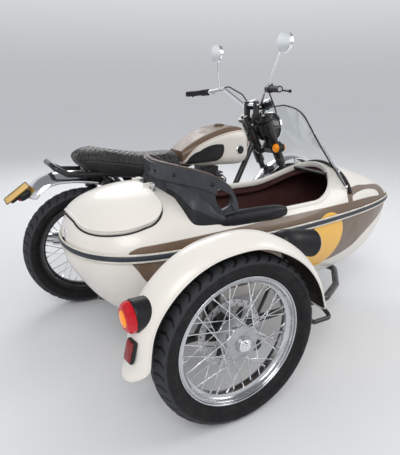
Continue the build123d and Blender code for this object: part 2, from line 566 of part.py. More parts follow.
side_arm = rod((400, OUTER_RAIL_Y - 175, CHASSIS_Z), (400, OUTER_RAIL_Y - 120 - SEAT_GAP, CHASSIS_Z), 24) \
    + bent_tube([(400, ARM_Y, CHASSIS_Z), (330, ARM_Y, CHASSIS_Z + 50), (SIDE_AXLE_X, ARM_Y, TYRE_R)], 17, 30) \
    + rod((SIDE_AXLE_X, ARM_Y - 30, TYRE_R), (SIDE_AXLE_X, ARM_Y + 26, TYRE_R), 26) \
    + rod((SIDE_AXLE_X, AXLE_END, TYRE_R), (SIDE_AXLE_X, ARM_Y, TYRE_R), AXLE_R) \
    + rod((SIDE_AXLE_X, AXLE_END, TYRE_R), (SIDE_AXLE_X, AXLE_END + 8.5, TYRE_R), 15)
side_shock = rod((SIDE_AXLE_X, ARM_Y, TYRE_R + 20), (SIDE_AXLE_X, ARM_Y, 552), 12) \
    + rod((SIDE_AXLE_X, ARM_Y, TYRE_R + 70), (SIDE_AXLE_X, ARM_Y, 500), 24) \
    + rod((SIDE_AXLE_X, ARM_Y - 10, 548), (SIDE_AXLE_X, -985 - STRUT_R - SEAT_GAP, 548), 12)
side_arm = side_arm + side_shock
step = bent_tube([(900, OUTER_RAIL_Y + 4, CHASSIS_Z), (905, OUTER_RAIL_Y - 90, CHASSIS_Z - 50),
                  (790, OUTER_RAIL_Y - 90, CHASSIS_Z - 50), (780, OUTER_RAIL_Y + 4, CHASSIS_Z)], 11, 20)
sidecar_step = largest(step - bent_tube([(1000, OUTER_RAIL_Y, CHASSIS_Z), (840, OUTER_RAIL_Y, CHASSIS_Z),
                                         (700, OUTER_RAIL_Y + 0.01, CHASSIS_Z)], CHASSIS_RAIL_R + SEAT_GAP, 10))
guard_stays_side = [rod(on_guard(angle, GUARD_R - GUARD_DROP - 4, GUARD_HALF_W - 4), (x, OUTER_RAIL_Y, z), 8) - side_core
                    for angle, x, z in ((42, 520, CHASSIS_Z), (150, -40, CHASSIS_Z + 51))]
rail_space = bent_tube([(960, OUTER_RAIL_Y, CHASSIS_Z), (60, OUTER_RAIL_Y, CHASSIS_Z), (-60, OUTER_RAIL_Y, CHASSIS_Z + 60)],
                       CHASSIS_RAIL_R + SEAT_GAP, 60)
mudguard_stays = [largest(stay - rail_space) for stay in guard_stays_side]

# Tank and seat
TANK_REAR_X, TANK_NOSE_X = 566, 1004


def tank_body(grow=0):
    """Teardrop tank on the backbone, larger all round by grow."""
    return section_loft([
        (TANK_REAR_X, 84 + grow, 738 - grow, 812 + grow, 26), (650, 112 + grow, 728 - grow, 868 + grow, 44),
        (760, 134 + grow, 722 - grow, 918 + grow, 58), (880, TANK_HALF_W + grow, 716 - grow, 941 + grow, 66),
        (960, 128 + grow, 718 - grow, 930 + grow, 64), (TANK_NOSE_X, 92 + grow, 742 - grow, 884 + grow, 50)])


TUNNEL_HALF_W = 21
tunnel_plane = Plane(origin=backbone_tail, x_dir=(0, 1, 0), z_dir=backbone_nose - backbone_tail)
tunnel_face = Circle(TUNNEL_HALF_W) + Pos(0, -100) * Rectangle(2 * TUNNEL_HALF_W, 200)
tank_tunnel = extrude(tunnel_plane * tunnel_face, amount=520)
fuel_tank = tank_body() - tank_tunnel
filler_cap = Pos(858, 0, 938) * Cylinder(30, 14) + Pos(858, 0, 946) * Cylinder(24, 8)
fuel_tank = fuel_tank + filler_cap
knee_profile = Plane.XZ * make_face([
    Line((584, 740), (742, 752)), ThreePointArc((742, 752), (800, 790), (800, 846)),
    ThreePointArc((800, 846), (736, 846), (660, 812)), ThreePointArc((660, 812), (606, 780), (584, 740))])
knee_band = (Pos(0, 300, 0) * extrude(knee_profile, amount=600) & tank_body(6)) - tank_body(SEAT_GAP)
knee_pads = [solid for solid in knee_band.solids() if abs(solid.center().Y) > 60 and solid.volume > 20000]

seat = section_loft([
    (-112, 84, 792, 838, 20), (-60, 128, 770, 858, 34), (120, 138, 736, 846, 36), (300, 140, 724, 828, 36),
    (420, 128, 714, 812, 36), (520, 104, 714, 812, 34), (560, 84, 726, 816, 30)])
for tube in seat_rails(SEAT_GAP):
    seat = seat - tube
seat = seat - Pos(250, 0, 719) * Box(40, 2 * RAIL_Y, 24)
seat = largest(seat - Pos(540, 0, 704) * Box(80, 104, 34))

# Engine: crankcase with round covers, upright finned cylinder and head
CRANK_X, CRANK_Z = 740, 335
crankcase = rounded_box((560, 905), (-92, 92), (228, 440), 36)
crankcase = fillet(crankcase.edges().filter_by(Plane.XY), 18)
covers = [Pos(CRANK_X + dx, s * 108, CRANK_Z + dz) * Rot(90, 0, 0) * Cylinder(r, 40)
          for s, dx, dz, r in ((1, 10, 0, 86), (-1, 10, 0, 92), (1, -110, -6, 58), (-1, -100, 0, 62))]
CYLINDER_X, FIN_PITCH, FINS = 770, 19, 12
cylinder = rounded_box((CYLINDER_X - 52, CYLINDER_X + 52), (-52, 52), (438, 690), 22)
fins = []
for i in range(FINS):
    half = 84 if i < 7 else 94 - 3 * (i - 7)
    z = 456 + i * FIN_PITCH
    fins.append(rounded_box((CYLINDER_X - half, CYLINDER_X + half), (-half * 0.92, half * 0.92), (z, z + 6), 20))
rocker = rounded_box((CYLINDER_X - 60, CYLINDER_X + 60), (-56, 56), (680, 704), 18)
engine = crankcase + covers + [cylinder, rocker] + fins
EXHAUST_R, PORT_Y, PORT_Z = 19, 30, 610
port_x = CYLINDER_X + 52 + SEAT_GAP
engine = engine - [rod((port_x, PORT_Y, PORT_Z), (port_x + 90, PORT_Y, PORT_Z), EXHAUST_R + 1)]
carburettor = Pos(657, 0, 560) * Rot(0, 90, 0) * Cylinder(30, 126) + Pos(640, 0, 520) * Cylinder(26, 60)
air_box = rounded_box((440, 594 - SEAT_GAP), (-70, 70), (470, 650), 24)
exhaust = bent_tube([(port_x, PORT_Y, PORT_Z), (920, PORT_Y, PORT_Z), (975, 110, 500), (945, 152, 300), (840, 168, 235),
                     (420, 178, 250)], EXHAUST_R, 40)
silencer = rod((425, 178, 250), (330, 180, 255), 26) + rod((330, 180, 255), (-140, 190, 330), 42) \
    + rod((-140, 190, 330), (-175, 191, 336), 28)
exhaust = exhaust + silencer

# Rear end: swinging arm, shock absorbers, mudguard, plate, lamp, side panels
ARM_HALF_GAP, ARM_R, EYE_HALF = 78, 15, 17
swing_arm = rod((PIVOT_X, -PIVOT_HALF, PIVOT_Z), (PIVOT_X, PIVOT_HALF, PIVOT_Z), 19)
for side in (1, -1):
    y = side * ARM_HALF_GAP
    swing_arm = swing_arm + rod((PIVOT_X, side * 68, PIVOT_Z), (0, y, TYRE_R), ARM_R) \
        + rod((0, y - EYE_HALF, TYRE_R), (0, y + EYE_HALF, TYRE_R), 24) \
        + rod((SHOCK_FOOT[0], y, TYRE_R), (SHOCK_FOOT[0], y, SHOCK_FOOT[1]), 9) \
        + rod((SHOCK_FOOT[0], y, SHOCK_FOOT[1]),
              (SHOCK_FOOT[0], side * (SHOCK_Y - SHOCK_EYE_HALF - SEAT_GAP), SHOCK_FOOT[1]), 9)
    nut = rod((0, y + side * EYE_HALF, TYRE_R), (0, y + side * (EYE_HALF + 9), TYRE_R), 14)
    swing_arm = swing_arm + nut
swing_arm = swing_arm + rod((0, -ARM_HALF_GAP, TYRE_R), (0, ARM_HALF_GAP, TYRE_R), AXLE_R)

shocks = []
for side in (1, -1):
    foot = Vector(SHOCK_FOOT[0], side * SHOCK_Y, SHOCK_FOOT[1])
    top = Vector(SHOCK_TOP[0], side * SHOCK_Y, SHOCK_TOP[1])
    line = (top - foot).normalized()
    body = rod(foot + line * 10, top - line * 10, 22) + rod(foot + line * 60, foot + line * 88, 34) \
        + rod(top - line * 74, top - line * 56, 34)
    for i in range(9):
        body = body + rod(foot + line * (92 + 21 * i), foot + line * (101 + 21 * i), 31)
    for end in (foot, top):
        reach = Vector(0, SHOCK_EYE_HALF, 0)
        body = body + rod(end - reach, end + reach, SHOCK_EYE_R)
    shocks.append(body)

rear_guard = guard(rear_hub, guard_section(REAR_GUARD_R, REAR_GUARD_HALF_W, REAR_GUARD_DROP, 3), 18, 152)

PLATE_AT = Vector(-352, 0, 655)
PLATE_TILT = 48
PLATE_SIZE, PLATE_WALL = (220, 140), 2
PLATE_HOLE_SPACING, PLATE_HOLE_R = 120, 3
plate_normal = Vector(-cos(radians(PLATE_TILT)), 0, sin(radians(PLATE_TILT)))
plate_plane = Plane(origin=PLATE_AT, x_dir=(0, 1, 0), z_dir=plate_normal)
plate_holes = [plate_plane * Pos(s * PLATE_HOLE_SPACING / 2, 45) * Cylinder(PLATE_HOLE_R, 30) for s in (1, -1)]
number_plate = extrude(plate_plane * Pos(0, 0, SEAT_GAP) * RectangleRounded(*PLATE_SIZE, 10), amount=PLATE_WALL)
bracket_arm = rod(PLATE_AT - plate_normal * 3.9, (-240, 0, 584), 12) - rear_core
plate_bracket = extrude(plate_plane * RectangleRounded(150, 110, 8), amount=-4) + bracket_arm.solids().sort_by(Axis.X)[0]
tail_lamp = (rod((-338, 0, 548), (-240, 0, 548), 33) - rear_core).solids().sort_by(Axis.X)[0]

PANEL_WALL = 12
panel_inner_y = 102 + FRAME_TUBE_R + SEAT_GAP
panel_shape = [(250, 696), (540, 692), (556, 640), (500, 500), (420, 470), (330, 560)]
panels = []
for side in (1, -1):
    face = make_face(Polyline(*[(x, side * panel_inner_y, z) for x, z in panel_shape], close=True))
    panel = extrude(face, amount=PANEL_WALL, dir=(0, side, 0))
    panels.append(fillet(panel.edges().filter_by(Axis.Y), 18))

# Front end, built straight ahead and turned to its resting angle at the end
axle_z = FRONT_TYRE_R
leg_foot = Vector(WHEELBASE, 0, axle_z)
front_hub = wheel_plane(WHEELBASE, 0, FRONT_TYRE_R)


def on_leg(side, distance):
    """Point of a fork leg's centre line, by distance up from the axle."""
    return leg_foot + Vector(0, side * FORK_HALF_GAP, 0) + axis_dir * distance


LOWER_CLAMP, UPPER_CLAMP, LEG_TOP = 520, 722, 745
SHROUD_R = FORK_LEG_R + 2
fork = None
for side in (1, -1):
    leg = rod(on_leg(side, -32), on_leg(side, 300), FORK_LEG_R) \
        + rod(on_leg(side, 290), on_leg(side, LEG_TOP), FORK_TUBE_R) \
        + rod(on_leg(side, 400), on_leg(side, 700), SHROUD_R)
    fork = leg if fork is None else fork + leg
for distance, thick in ((LOWER_CLAMP, 34), (UPPER_CLAMP, 22)):
    centre = on_leg(0, distance)
    plate = Plane(origin=centre - axis_dir * thick / 2, x_dir=(0, 1, 0), z_dir=axis_dir)
    yoke = extrude(plate * RectangleRounded(2 * FORK_HALF_GAP + 74, 86, 36), amount=thick)
    back = extrude(plate * Pos(0, 32) * Circle(33), amount=thick)
    fork = fork + yoke + back
stem_low = on_axis(on_leg(0, LOWER_CLAMP).Z - 26)
stem_high = on_axis(on_leg(0, UPPER_CLAMP).Z + 14)
fork = fork + rod(stem_low, stem_high, STEM_R)
fork = fork + rod((WHEELBASE, -FORK_HALF_GAP - 30, axle_z), (WHEELBASE, FORK_HALF_GAP + 30, axle_z), AXLE_R)

GRIP_TIP, BAR_BEND = Vector(905, 435, 1132), Vector(976, 262, 1141)
BAR_MID_X, BAR_MID_Z, BAR_MID_HALF = 1098, 1056, 76
bar_half = [tuple(GRIP_TIP), tuple(BAR_BEND), (1038, 196, 1156), (BAR_MID_X, BAR_MID_HALF, BAR_MID_Z)]
bar_route = bar_half + [(x, -y, z) for x, y, z in reversed(bar_half)]
handlebar = bent_tube(bar_route, BAR_R, 34)
yoke_top = on_leg(0, UPPER_CLAMP).Z
for side in (1, -1):
    clamp = rounded_box((BAR_MID_X - 18, BAR_MID_X + 18), (side * 42 - 12, side * 42 + 12),
                        (yoke_top, BAR_MID_Z + 20), 6)
    fork = fork + (clamp - rod((BAR_MID_X, -70, BAR_MID_Z), (BAR_MID_X, 70, BAR_MID_Z), BAR_R + SEAT_GAP))


def along_bar(side, start, end, r, inner):
    """Sleeve on the bar's straight end, between two distances from its tip."""
    tip = Vector(GRIP_TIP.X, side * GRIP_TIP.Y, GRIP_TIP.Z)
    line = (Vector(BAR_BEND.X, side * BAR_BEND.Y, BAR_BEND.Z) - tip).normalized()
    return rod(tip + line * start, tip + line * end, r, inner)


grips = [along_bar(s, 0, 118, GRIP_R, BAR_R + SEAT_GAP) for s in (1, -1)]
controls = []
for s in (1, -1):
    pivot, tip = Vector(1018, s * 276, 1138), Vector(962, s * 452, 1122)
    lever = rod(pivot, tip, 5.5) + Pos(tip.X, tip.Y, tip.Z) * Sphere(9) + rod(pivot, (980, s * 292, 1139), 8)
    sleeve = along_bar(s, 119, 168, 21, BAR_R + SEAT_GAP)
    controls.append(sleeve + (lever - along_bar(s, 110, 180, BAR_R + 1, 0)))
MIRROR_R, MIRROR_STEM_R = 56, 4.5
mirrors = []
for s in (1, -1):
    base, head = Vector(1013, s * 222.5, 1150), Vector(1060, s * 306, 1380)
    back = Plane(origin=head, x_dir=(0, 1, 0), z_dir=(-1, 0, 0.08))
    stem = rod(base, head, MIRROR_STEM_R) - bent_tube(bar_route, BAR_R + SEAT_GAP, 34)
    mirrors.append(stem.solids().sort_by(Axis.Z)[-1] + extrude(back * Circle(MIRROR_R), amount=9, both=True))

GAUGE_R, GAUGE_Y, GAUGE_DEPTH = 36, 64, 42
gauge_at, gauge_up = Vector(1172, 0, 1040), Vector(-0.42, 0, 0.91).normalized()
gauges = []
bracket_at = gauge_at - gauge_up * (9 + SEAT_GAP)
for s in (1, -1):
    base = Plane(origin=gauge_at + Vector(0, s * GAUGE_Y, 0), x_dir=(0, 1, 0), z_dir=gauge_up)
    gauges.append(extrude(base * Circle(GAUGE_R), amount=GAUGE_DEPTH))
    fork = fork + rod(bracket_at + Vector(0, s * 40, 0), on_leg(0, UPPER_CLAMP) + Vector(20, s * 40, 4), 6)
fork = fork + rod(bracket_at - Vector(0, GAUGE_Y + 6, 0), bracket_at + Vector(0, GAUGE_Y + 6, 0), 9)

LAMP_AT = Vector(1222, 0, 915)
HEADLAMP_R, SHELL_R = 90, 86
lamp_profile = make_face([
    Line((0, 0), (0, -SHELL_R)), CenterArc((0, 0), SHELL_R, -90, 90),
    Polyline((SHELL_R, 0), (SHELL_R, 40), (HEADLAMP_R, 40), (HEADLAMP_R, 56), (0, 56), (0, 0))])
lamp_turn = Plane(origin=LAMP_AT, x_dir=(0, 0, 1), z_dir=(0, 1, 0))
headlamp = revolve(lamp_turn * lamp_profile, axis=Axis(LAMP_AT, (1, 0, 0)))
lens_x = LAMP_AT.X + 56 + SEAT_GAP
headlamp_lens = rod((lens_x, 0, LAMP_AT.Z), (lens_x + 10, 0, LAMP_AT.Z), HEADLAMP_R - 8)
leg_at_lamp = on_leg(0, (LAMP_AT.Z - axle_z) / axis_dir.Z)
for s in (1, -1):
    fork = fork + rod((leg_at_lamp.X, s * 112, LAMP_AT.Z), (LAMP_AT.X + 8, s * 106, LAMP_AT.Z), 9) \
        + rod((LAMP_AT.X, s * (SHELL_R + SEAT_GAP), LAMP_AT.Z), (LAMP_AT.X, s * 112, LAMP_AT.Z), 9)
indicators = []
for s in (1, -1):
    root = on_leg(0, LOWER_CLAMP) + Vector(0, s * (FORK_HALF_GAP + 37 + SEAT_GAP), 0)
    elbow = root + Vector(0, s * 12, 0)
    indicators.append(rod(root, elbow, 7) + Pos(*elbow) * Sphere(7) + rod(elbow, (1185, s * 172, 798), 7)
                      + rod((1150, s * 172, 798), (1196, s * 172, 798), 27))

FRONT_GUARD_R, FRONT_GUARD_HALF_W, FRONT_GUARD_DROP = 394, 58, 22
front_guard = guard(front_hub, guard_section(FRONT_GUARD_R, FRONT_GUARD_HALF_W, FRONT_GUARD_DROP, 3), 32, 152)
for s in (1, -1):
    foot = on_leg(0, 67) + Vector(0, s * (FORK_HALF_GAP - FORK_LEG_R - 5 - SEAT_GAP), 0)
    front_guard = front_guard + rod(foot, (WHEELBASE - 10, s * 57, axle_z + FRONT_GUARD_R - FRONT_GUARD_DROP), 5)

# Cables from the controls down to the lamp's shell, where the wiring goes in
CABLE_R = 4
CABLE_POINTS = [(1024, 266, 1150), (1074, 200, 1172), (1128, 124, 1120), (1176, 114, 1056), (1226, 88.4, 1003.4),
                (1226, 61.4, 976.4)]
cables = [bent_tube([(x, s * y, z) for x, y, z in CABLE_POINTS], CABLE_R, 28) for s in (1, -1)]

# The outfit: which solids make which piece, and the body that carries it
front_pieces = {
    "fork": [fork],
    "handlebar": [handlebar],
    "grips": grips,
    "controls": controls,
    "mirrors": mirrors,
    "gauges": gauges,
    "headlamp": [headlamp],
    "headlamp_lens": [headlamp_lens],
    "indicators": indicators,
    "front_mudguard": [front_guard],
    "cables": cables,
    "front_tyre": [tyre(front_hub, FRONT_TYRE_R, FRONT_TYRE_HALF_W, FRONT_RIM_R)],
    "front_rim": [wheel(front_hub, FRONT_RIM_R, disc_side=1, disc_r=140)],
}
rear_pieces = {
    "motorcycle_frame": [motorcycle_frame],
    "engine": [engine, carburettor],
    "air_box": [air_box],
    "exhaust": [exhaust],
    "fuel_tank": [fuel_tank],
    "knee_pads": knee_pads,
    "seat": [seat],
    "side_panels": panels,
    "swing_arm": [swing_arm],
    "shock_absorbers": shocks,
    "rear_mudguard": [rear_guard],
    "plate_bracket": [plate_bracket - plate_holes],
    "number_plate": [number_plate - plate_holes],
    "tail_lamp": [tail_lamp],
    "sidecar_frame": [sidecar_frame],
    "sidecar_step": [sidecar_step],
    "side_arm": [side_arm],
    "sidecar_hull": [sidecar_hull],
    "sidecar_deck": [sidecar_deck],
    "rub_rail": [rub_rail],
    "cockpit_floor": [floor_board, seat_plinth],
    "bulkhead": [bulkhead],
    "sidecar_seat": [sidecar_seat],
    "backrest": [backrest],
    "seat_collar": [seat_collar],
    "armrest": [armrest],
    "grab_handle": [grab_handle],
    "windscreen": [windscreen],
    "screen_foot": [screen_foot],
    "lid_hinge": hinge_posts,
    "side_mudguard": [side_guard],
    "mudguard_stays": mudguard_stays,
    "rear_lamp": [rear_lamp],
    "rear_lens": [rear_lens],
    "reflector": [reflector],
    "front_lamp": [front_lamp],
    "front_lens": [front_lens],
    "rear_tyre": [tyre(rear_hub, TYRE_R, TYRE_HALF_W, RIM_R)],
    "rear_rim": [wheel(rear_hub, RIM_R, sprocket_side=1, sprocket_r=88)],
    "side_tyre": [tyre(side_hub, TYRE_R, TYRE_HALF_W, RIM_R)],
    "side_rim": [wheel(side_hub, RIM_R, disc_side=1, disc_r=130)],
    "boot_lid": [boot_lid],
}


def fused(shapes):
    """One shape of solids: those that touch are joined, the rest stay apart."""
    result = shapes[0]
    for shape in shapes[1:]:
        result = result + shape
    return result


steering_axis = Axis(on_axis(0), axis_dir)
pieces = {name: fused(shapes) for name, shapes in rear_pieces.items()}
for name, shapes in front_pieces.items():
    pieces[name] = fused(shapes).rotate(steering_axis, STEER_REST)

box = Compound(children=[Compound(piece.solids()) for piece in pieces.values()]).bounding_box()
to_origin = Pos(-(box.min.X + box.max.X) / 2, -(box.min.Y + box.max.Y) / 2, -box.min.Z)

if __name__ == "__main__":
    os.makedirs("parts", exist_ok=True)
    for name, piece in pieces.items():
        solids = (to_origin * piece).solids()
        shape = solids[0] if len(solids) == 1 else Compound(solids)
        shape.label = name
        export_step(shape, f"parts/{name}.step")
        print(f"{name:18} {len(solids)} solid(s) {sum(s.volume for s in solids) / 1e6:8.3f} litres")
    shift = to_origin.position
    print("moved by", shift, "steering axis through", on_axis(0) + shift, "along", axis_dir)
    turned = (leg_foot - on_axis(0)).rotate(Axis((0, 0, 0), axis_dir), STEER_REST) + on_axis(0)
    print("front axle at", turned + shift, "along", Vector(0, 1, 0).rotate(Axis((0, 0, 0), axis_dir), STEER_REST))
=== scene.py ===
"""Retro motorcycle with a sidecar: its paint, rubber, chrome and padding around the fixed frame."""

import json
from math import cos, pi, radians, sin

import bpy
import numpy as np
from mathutils import Matrix, Vector


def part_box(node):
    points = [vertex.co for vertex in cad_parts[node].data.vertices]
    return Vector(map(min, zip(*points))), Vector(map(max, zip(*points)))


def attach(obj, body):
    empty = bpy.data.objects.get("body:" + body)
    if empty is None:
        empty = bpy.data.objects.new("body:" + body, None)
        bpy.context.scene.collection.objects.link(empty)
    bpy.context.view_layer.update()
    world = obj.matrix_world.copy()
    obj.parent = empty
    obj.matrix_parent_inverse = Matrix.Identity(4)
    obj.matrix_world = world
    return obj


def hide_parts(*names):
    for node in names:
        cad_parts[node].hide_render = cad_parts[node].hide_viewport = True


bl_info = {
    "name": "Motorcycle and sidecar",
    "version": (1, 0, 0),
    "blender": (4, 5, 0),
    "location": "View3D > Sidebar > Outfit",
    "description": "Builds the visible pieces of a motorcycle with a sidecar around its fixed frame",
    "category": "Object",
}

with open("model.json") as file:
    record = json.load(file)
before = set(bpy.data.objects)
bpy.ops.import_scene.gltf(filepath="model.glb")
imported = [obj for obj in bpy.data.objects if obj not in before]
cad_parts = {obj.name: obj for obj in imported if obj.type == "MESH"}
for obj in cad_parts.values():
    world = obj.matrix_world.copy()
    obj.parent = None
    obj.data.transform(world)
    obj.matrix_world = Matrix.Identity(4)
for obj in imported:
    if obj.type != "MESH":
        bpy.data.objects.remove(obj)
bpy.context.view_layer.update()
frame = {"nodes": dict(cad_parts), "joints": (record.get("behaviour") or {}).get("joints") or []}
NODES = frame["nodes"]

MM = 0.001
TURN = 2 * pi


def middle(node):
    """Centre of a node's box as an array."""
    low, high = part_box(node)
    return (np.array(low) + np.array(high)) / 2


# The ground point under the rear axle, from which every place below is measured in millimetres
HOME = middle("rear_tyre") * np.array([1, 1, 0])
REAR_HUB = middle("rear_tyre")
SIDE_HUB = middle("side_tyre")
AXLE = np.array([0.0, 1.0, 0.0])
UP = (0, 0, 1)
BODY_Y = -610
WAIST_Z = 575
BODY_TAIL_X, BODY_NOSE_X, BODY_WIDEST_X, BODY_HALF_W = -235, 1605, 360, 325
RIM_HALF_W = 36


def place(points):
    """Points in millimetres from HOME as points of the frame, in metres."""
    return np.asarray(points, float) * MM + HOME


# Settings

def colour(name, description, default):
    return bpy.props.FloatVectorProperty(
        name=name, description=description, default=default, size=3, min=0, max=1, subtype="COLOR")


def length(name, description, default):
    return bpy.props.FloatProperty(
        name=name, description=description, default=default, min=0, subtype="DISTANCE", unit="LENGTH")


class PaintSettings(bpy.types.PropertyGroup):
    """Colours of the lacquered and moulded surfaces."""
    cream: colour("Cream", "Lacquer of the sidecar, mudguard and tank", (0.80, 0.755, 0.69))
    brown: colour("Brown", "Stripes on the sidecar and the tank", (0.145, 0.088, 0.052))
    disc: colour("Disc", "Plain round spot on the sidecar's side", (0.92, 0.50, 0.06))
    black: colour("Black", "Frame tubes and forks", (0.012, 0.012, 0.013))
    plate: colour("Plate", "Blank number plate", (0.80, 0.46, 0.05))
    collar: colour("Collar", "Moulded shell behind the passenger", (0.042, 0.046, 0.053))
    rail: colour("Rub rail", "Band round the sidecar's waist", (0.035, 0.042, 0.052))
    leather: colour("Saddle", "Cover of the rider's seat", (0.0135, 0.0115, 0.0120))
    maroon: colour("Lining", "Cockpit lining and cushions", (0.070, 0.022, 0.020))


class TyreSettings(bpy.types.PropertyGroup):
    """Tread of the three tyres."""
    blocks: bpy.props.IntProperty(name="Blocks", description="Tread blocks round a tyre", default=42, min=8)
    groove: length("Groove", "Depth of the tread", 0.0055)


class WheelSettings(bpy.types.PropertyGroup):
    """Wire spokes and drilled discs."""
    spokes: bpy.props.IntProperty(name="Spokes", description="Wire spokes in a wheel", default=36, min=12)
    wire: length("Wire", "Radius of a spoke", 0.0021)
    disc: length("Side disc", "Radius of the sidecar wheel's brake disc", 0.130)


class PadSettings(bpy.types.PropertyGroup):
    """How the cushions are stuffed."""
    pressure: bpy.props.FloatProperty(name="Pressure", description="Air that swells a pad", default=4.0,
                                      min=0)
    voxel: length("Grain", "Size of the cells of a pad's mesh", 0.0058)
    stitch: length("Channel", "Depth of a sewn channel", 0.0042)


SETTINGS = {
    "outfit_paint": PaintSettings,
    "outfit_tyre": TyreSettings,
    "outfit_wheel": WheelSettings,
    "outfit_pad": PadSettings,
}


# Surfaces

def shell(points, wrap_rows=False, caps="fan"):
    """Closed surface through a grid of points[row, column], facing outwards.

    The four corners (i, j), (i, j+1), (i+1, j+1), (i+1, j) make a face. An open end row is closed by a
    fan to its mean point, or by a strip between column j and its opposite one, cols - 1 - j.
    """
    points = np.asarray(points, float)
    rows, cols = points.shape[:2]
    verts = points.reshape(-1, 3)
    i, j = np.meshgrid(np.arange(rows - (not wrap_rows)), np.arange(cols), indexing="ij")
    i2, j2 = (i + 1) % rows, (j + 1) % cols
    quads = np.stack([i * cols + j, i * cols + j2, i2 * cols + j2, i2 * cols + j], -1).reshape(-1, 4)
    tris = np.zeros((0, 3), int)
    if caps == "strip":
        j = np.arange(cols // 2 - 1)
        near = np.stack([j, cols - 1 - j, cols - 2 - j, j + 1], -1)
        quads = np.vstack([quads, near, near[:, ::-1] + (rows - 1) * cols])
    elif not wrap_rows:
        verts = np.vstack([verts, points[0].mean(0), points[-1].mean(0)])
        j = np.arange(cols)
        j2 = (j + 1) % cols
        last = (rows - 1) * cols
        tris = np.vstack([
            np.stack([np.full(cols, rows * cols), j2, j], -1),
            np.stack([np.full(cols, rows * cols + 1), last + j, last + j2], -1)])
    return outwards((verts, quads, tris))


def outwards(made):
    """The same shell, turned round if its volume, the sum of a . (b x c) / 6, comes out negative."""
    verts, quads, tris = made
    corners = np.vstack([quads[:, [0, 1, 2]], quads[:, [0, 2, 3]], tris])
    a, b, c = (verts[corners[:, k]] - verts.mean(0) for k in range(3))
    if np.einsum("ij,ij->", a, np.cross(b, c)) < 0:
        quads, tris = quads[:, ::-1], tris[:, ::-1]
    return verts, quads, tris


def joined(*shells):
    """Several shells as one."""
    verts, quads, tris, count = [], [], [], 0
    for v, q, t in shells:
        verts.append(v)
        quads.append(q + count)
        tris.append(t + count)
        count += len(v)
    return np.vstack(verts), np.vstack(quads), np.vstack(tris)


def repeated(made, places):
    """A copy of a shell for each 4x4 matrix of places, worked out in one product."""
    verts, quads, tris = made
    places = np.asarray(places, float)
    count, size = len(places), len(verts)
    moved = np.einsum("kij,nj->kni", places[:, :3, :3], verts) + places[:, None, :3, 3]
    step = (np.arange(count) * size)[:, None, None]
    return moved.reshape(-1, 3), (quads[None] + step).reshape(-1, 4), (tris[None] + step).reshape(-1, 3)


def unit(v):
    v = np.asarray(v, float)
    return v / np.linalg.norm(v, axis=-1, keepdims=True)


def turns(count):
    """That many angles, evenly round a full turn."""
    return np.arange(count) * TURN / count


def across(axis):
    """Two unit vectors square to an axis and to each other."""
    axis = unit(axis)
    start = np.array([1.0, 0, 0]) if abs(axis[0]) < 0.8 else np.array([0, 0, 1.0])
    e1 = unit(start - axis * (start @ axis))
    return e1, np.cross(axis, e1)


def spokewise(axis, a):
    """Unit directions square to an axis at angles a: e1 cos a + e2 sin a."""
    e1, e2 = across(axis)
    return np.cos(a)[..., None] * e1 + np.sin(a)[..., None] * e2


def evenly(plan, count):
    """Points at even steps along a closed plan curve."""
    wrapped = np.vstack([plan, plan[:1]])
    run = np.concatenate([[0], np.cumsum(np.linalg.norm(np.diff(wrapped, axis=0), axis=1))])
    even = np.linspace(0, run[-1], count, endpoint=False)
    return np.stack([np.interp(even, run, wrapped[:, k]) for k in (0, 1)], -1)


def smooth_path(points, count):
    """Catmull-Rom curve: between p1 and p2 it is half of
    2 p1 + (p2 - p0) t + (2 p0 - 5 p1 + 4 p2 - p3) t^2 + (3 p1 - p0 - 3 p2 + p3) t^3."""
    points = np.asarray(points, float)
    spans = len(points) - 1
    padded = np.vstack([2 * points[0] - points[1], points, 2 * points[-1] - points[-2]])
    t = np.linspace(0, spans, count)
    k = np.minimum(t.astype(int), spans - 1)
    t = (t - k)[:, None]
    p0, p1, p2, p3 = (padded[k + n] for n in range(4))
    return (2 * p1 + (p2 - p0) * t + (2 * p0 - 5 * p1 + 4 * p2 - p3) * t ** 2
            + (3 * p1 - p0 - 3 * p2 + p3) * t ** 3) / 2


def frames(path, closed, up):
    """Side and up directions along a path: side = tangent x up, then up = side x tangent."""
    if closed:
        tangent = unit(np.roll(path, -1, 0) - np.roll(path, 1, 0))
    else:
        tangent = unit(np.gradient(path, axis=0))
    if up is None:
        up = np.eye(3)[np.argmin(np.abs(tangent).max(0))]
    side = unit(np.cross(tangent, up))
    return side, np.cross(side, tangent)


def swept(path, profile, closed=False, up=None):
    """A closed profile of (side, up) carried along a path: P(i, j) = path_i + s_j side_i + u_j up_i."""
    path, profile = np.asarray(path, float), np.asarray(profile, float)
    side, rise = frames(path, closed, up)
    grid = path[:, None] + (
        profile[None, :, 0, None] * side[:, None] + profile[None, :, 1, None] * rise[:, None])
    return shell(grid, wrap_rows=closed)


def tube(path, radius, sides, closed=False, up=None):
    """Round bar along a path."""
    a = turns(sides)
    return swept(path, radius * np.stack([np.cos(a), np.sin(a)], -1), closed, up)


def lathe(profile, centre, axis, count, wave=None, closed=False):
    """A profile of (radius, offset) turned about an axis:
    P(i, j) = centre + offset_i axis + radius_i w(i, a_j) (e1 cos a_j + e2 sin a_j)."""
    profile = np.asarray(profile, float)
    a = turns(count)
    out = spokewise(axis, a)
    radius = np.repeat(profile[:, 0, None], count, 1)
    if wave is not None:
        radius = radius * wave(profile, a)
    grid = np.asarray(centre) + profile[:, 1, None, None] * unit(axis) + radius[..., None] * out
    return shell(grid, wrap_rows=closed)


def superellipse(count, power):
    """Unit closed curve |x|^power + |y|^power = 1."""
    a = turns(count)
    c, s = np.cos(a), np.sin(a)
    return np.stack([np.sign(c) * np.abs(c) ** (2 / power), np.sign(s) * np.abs(s) ** (2 / power)], -1)


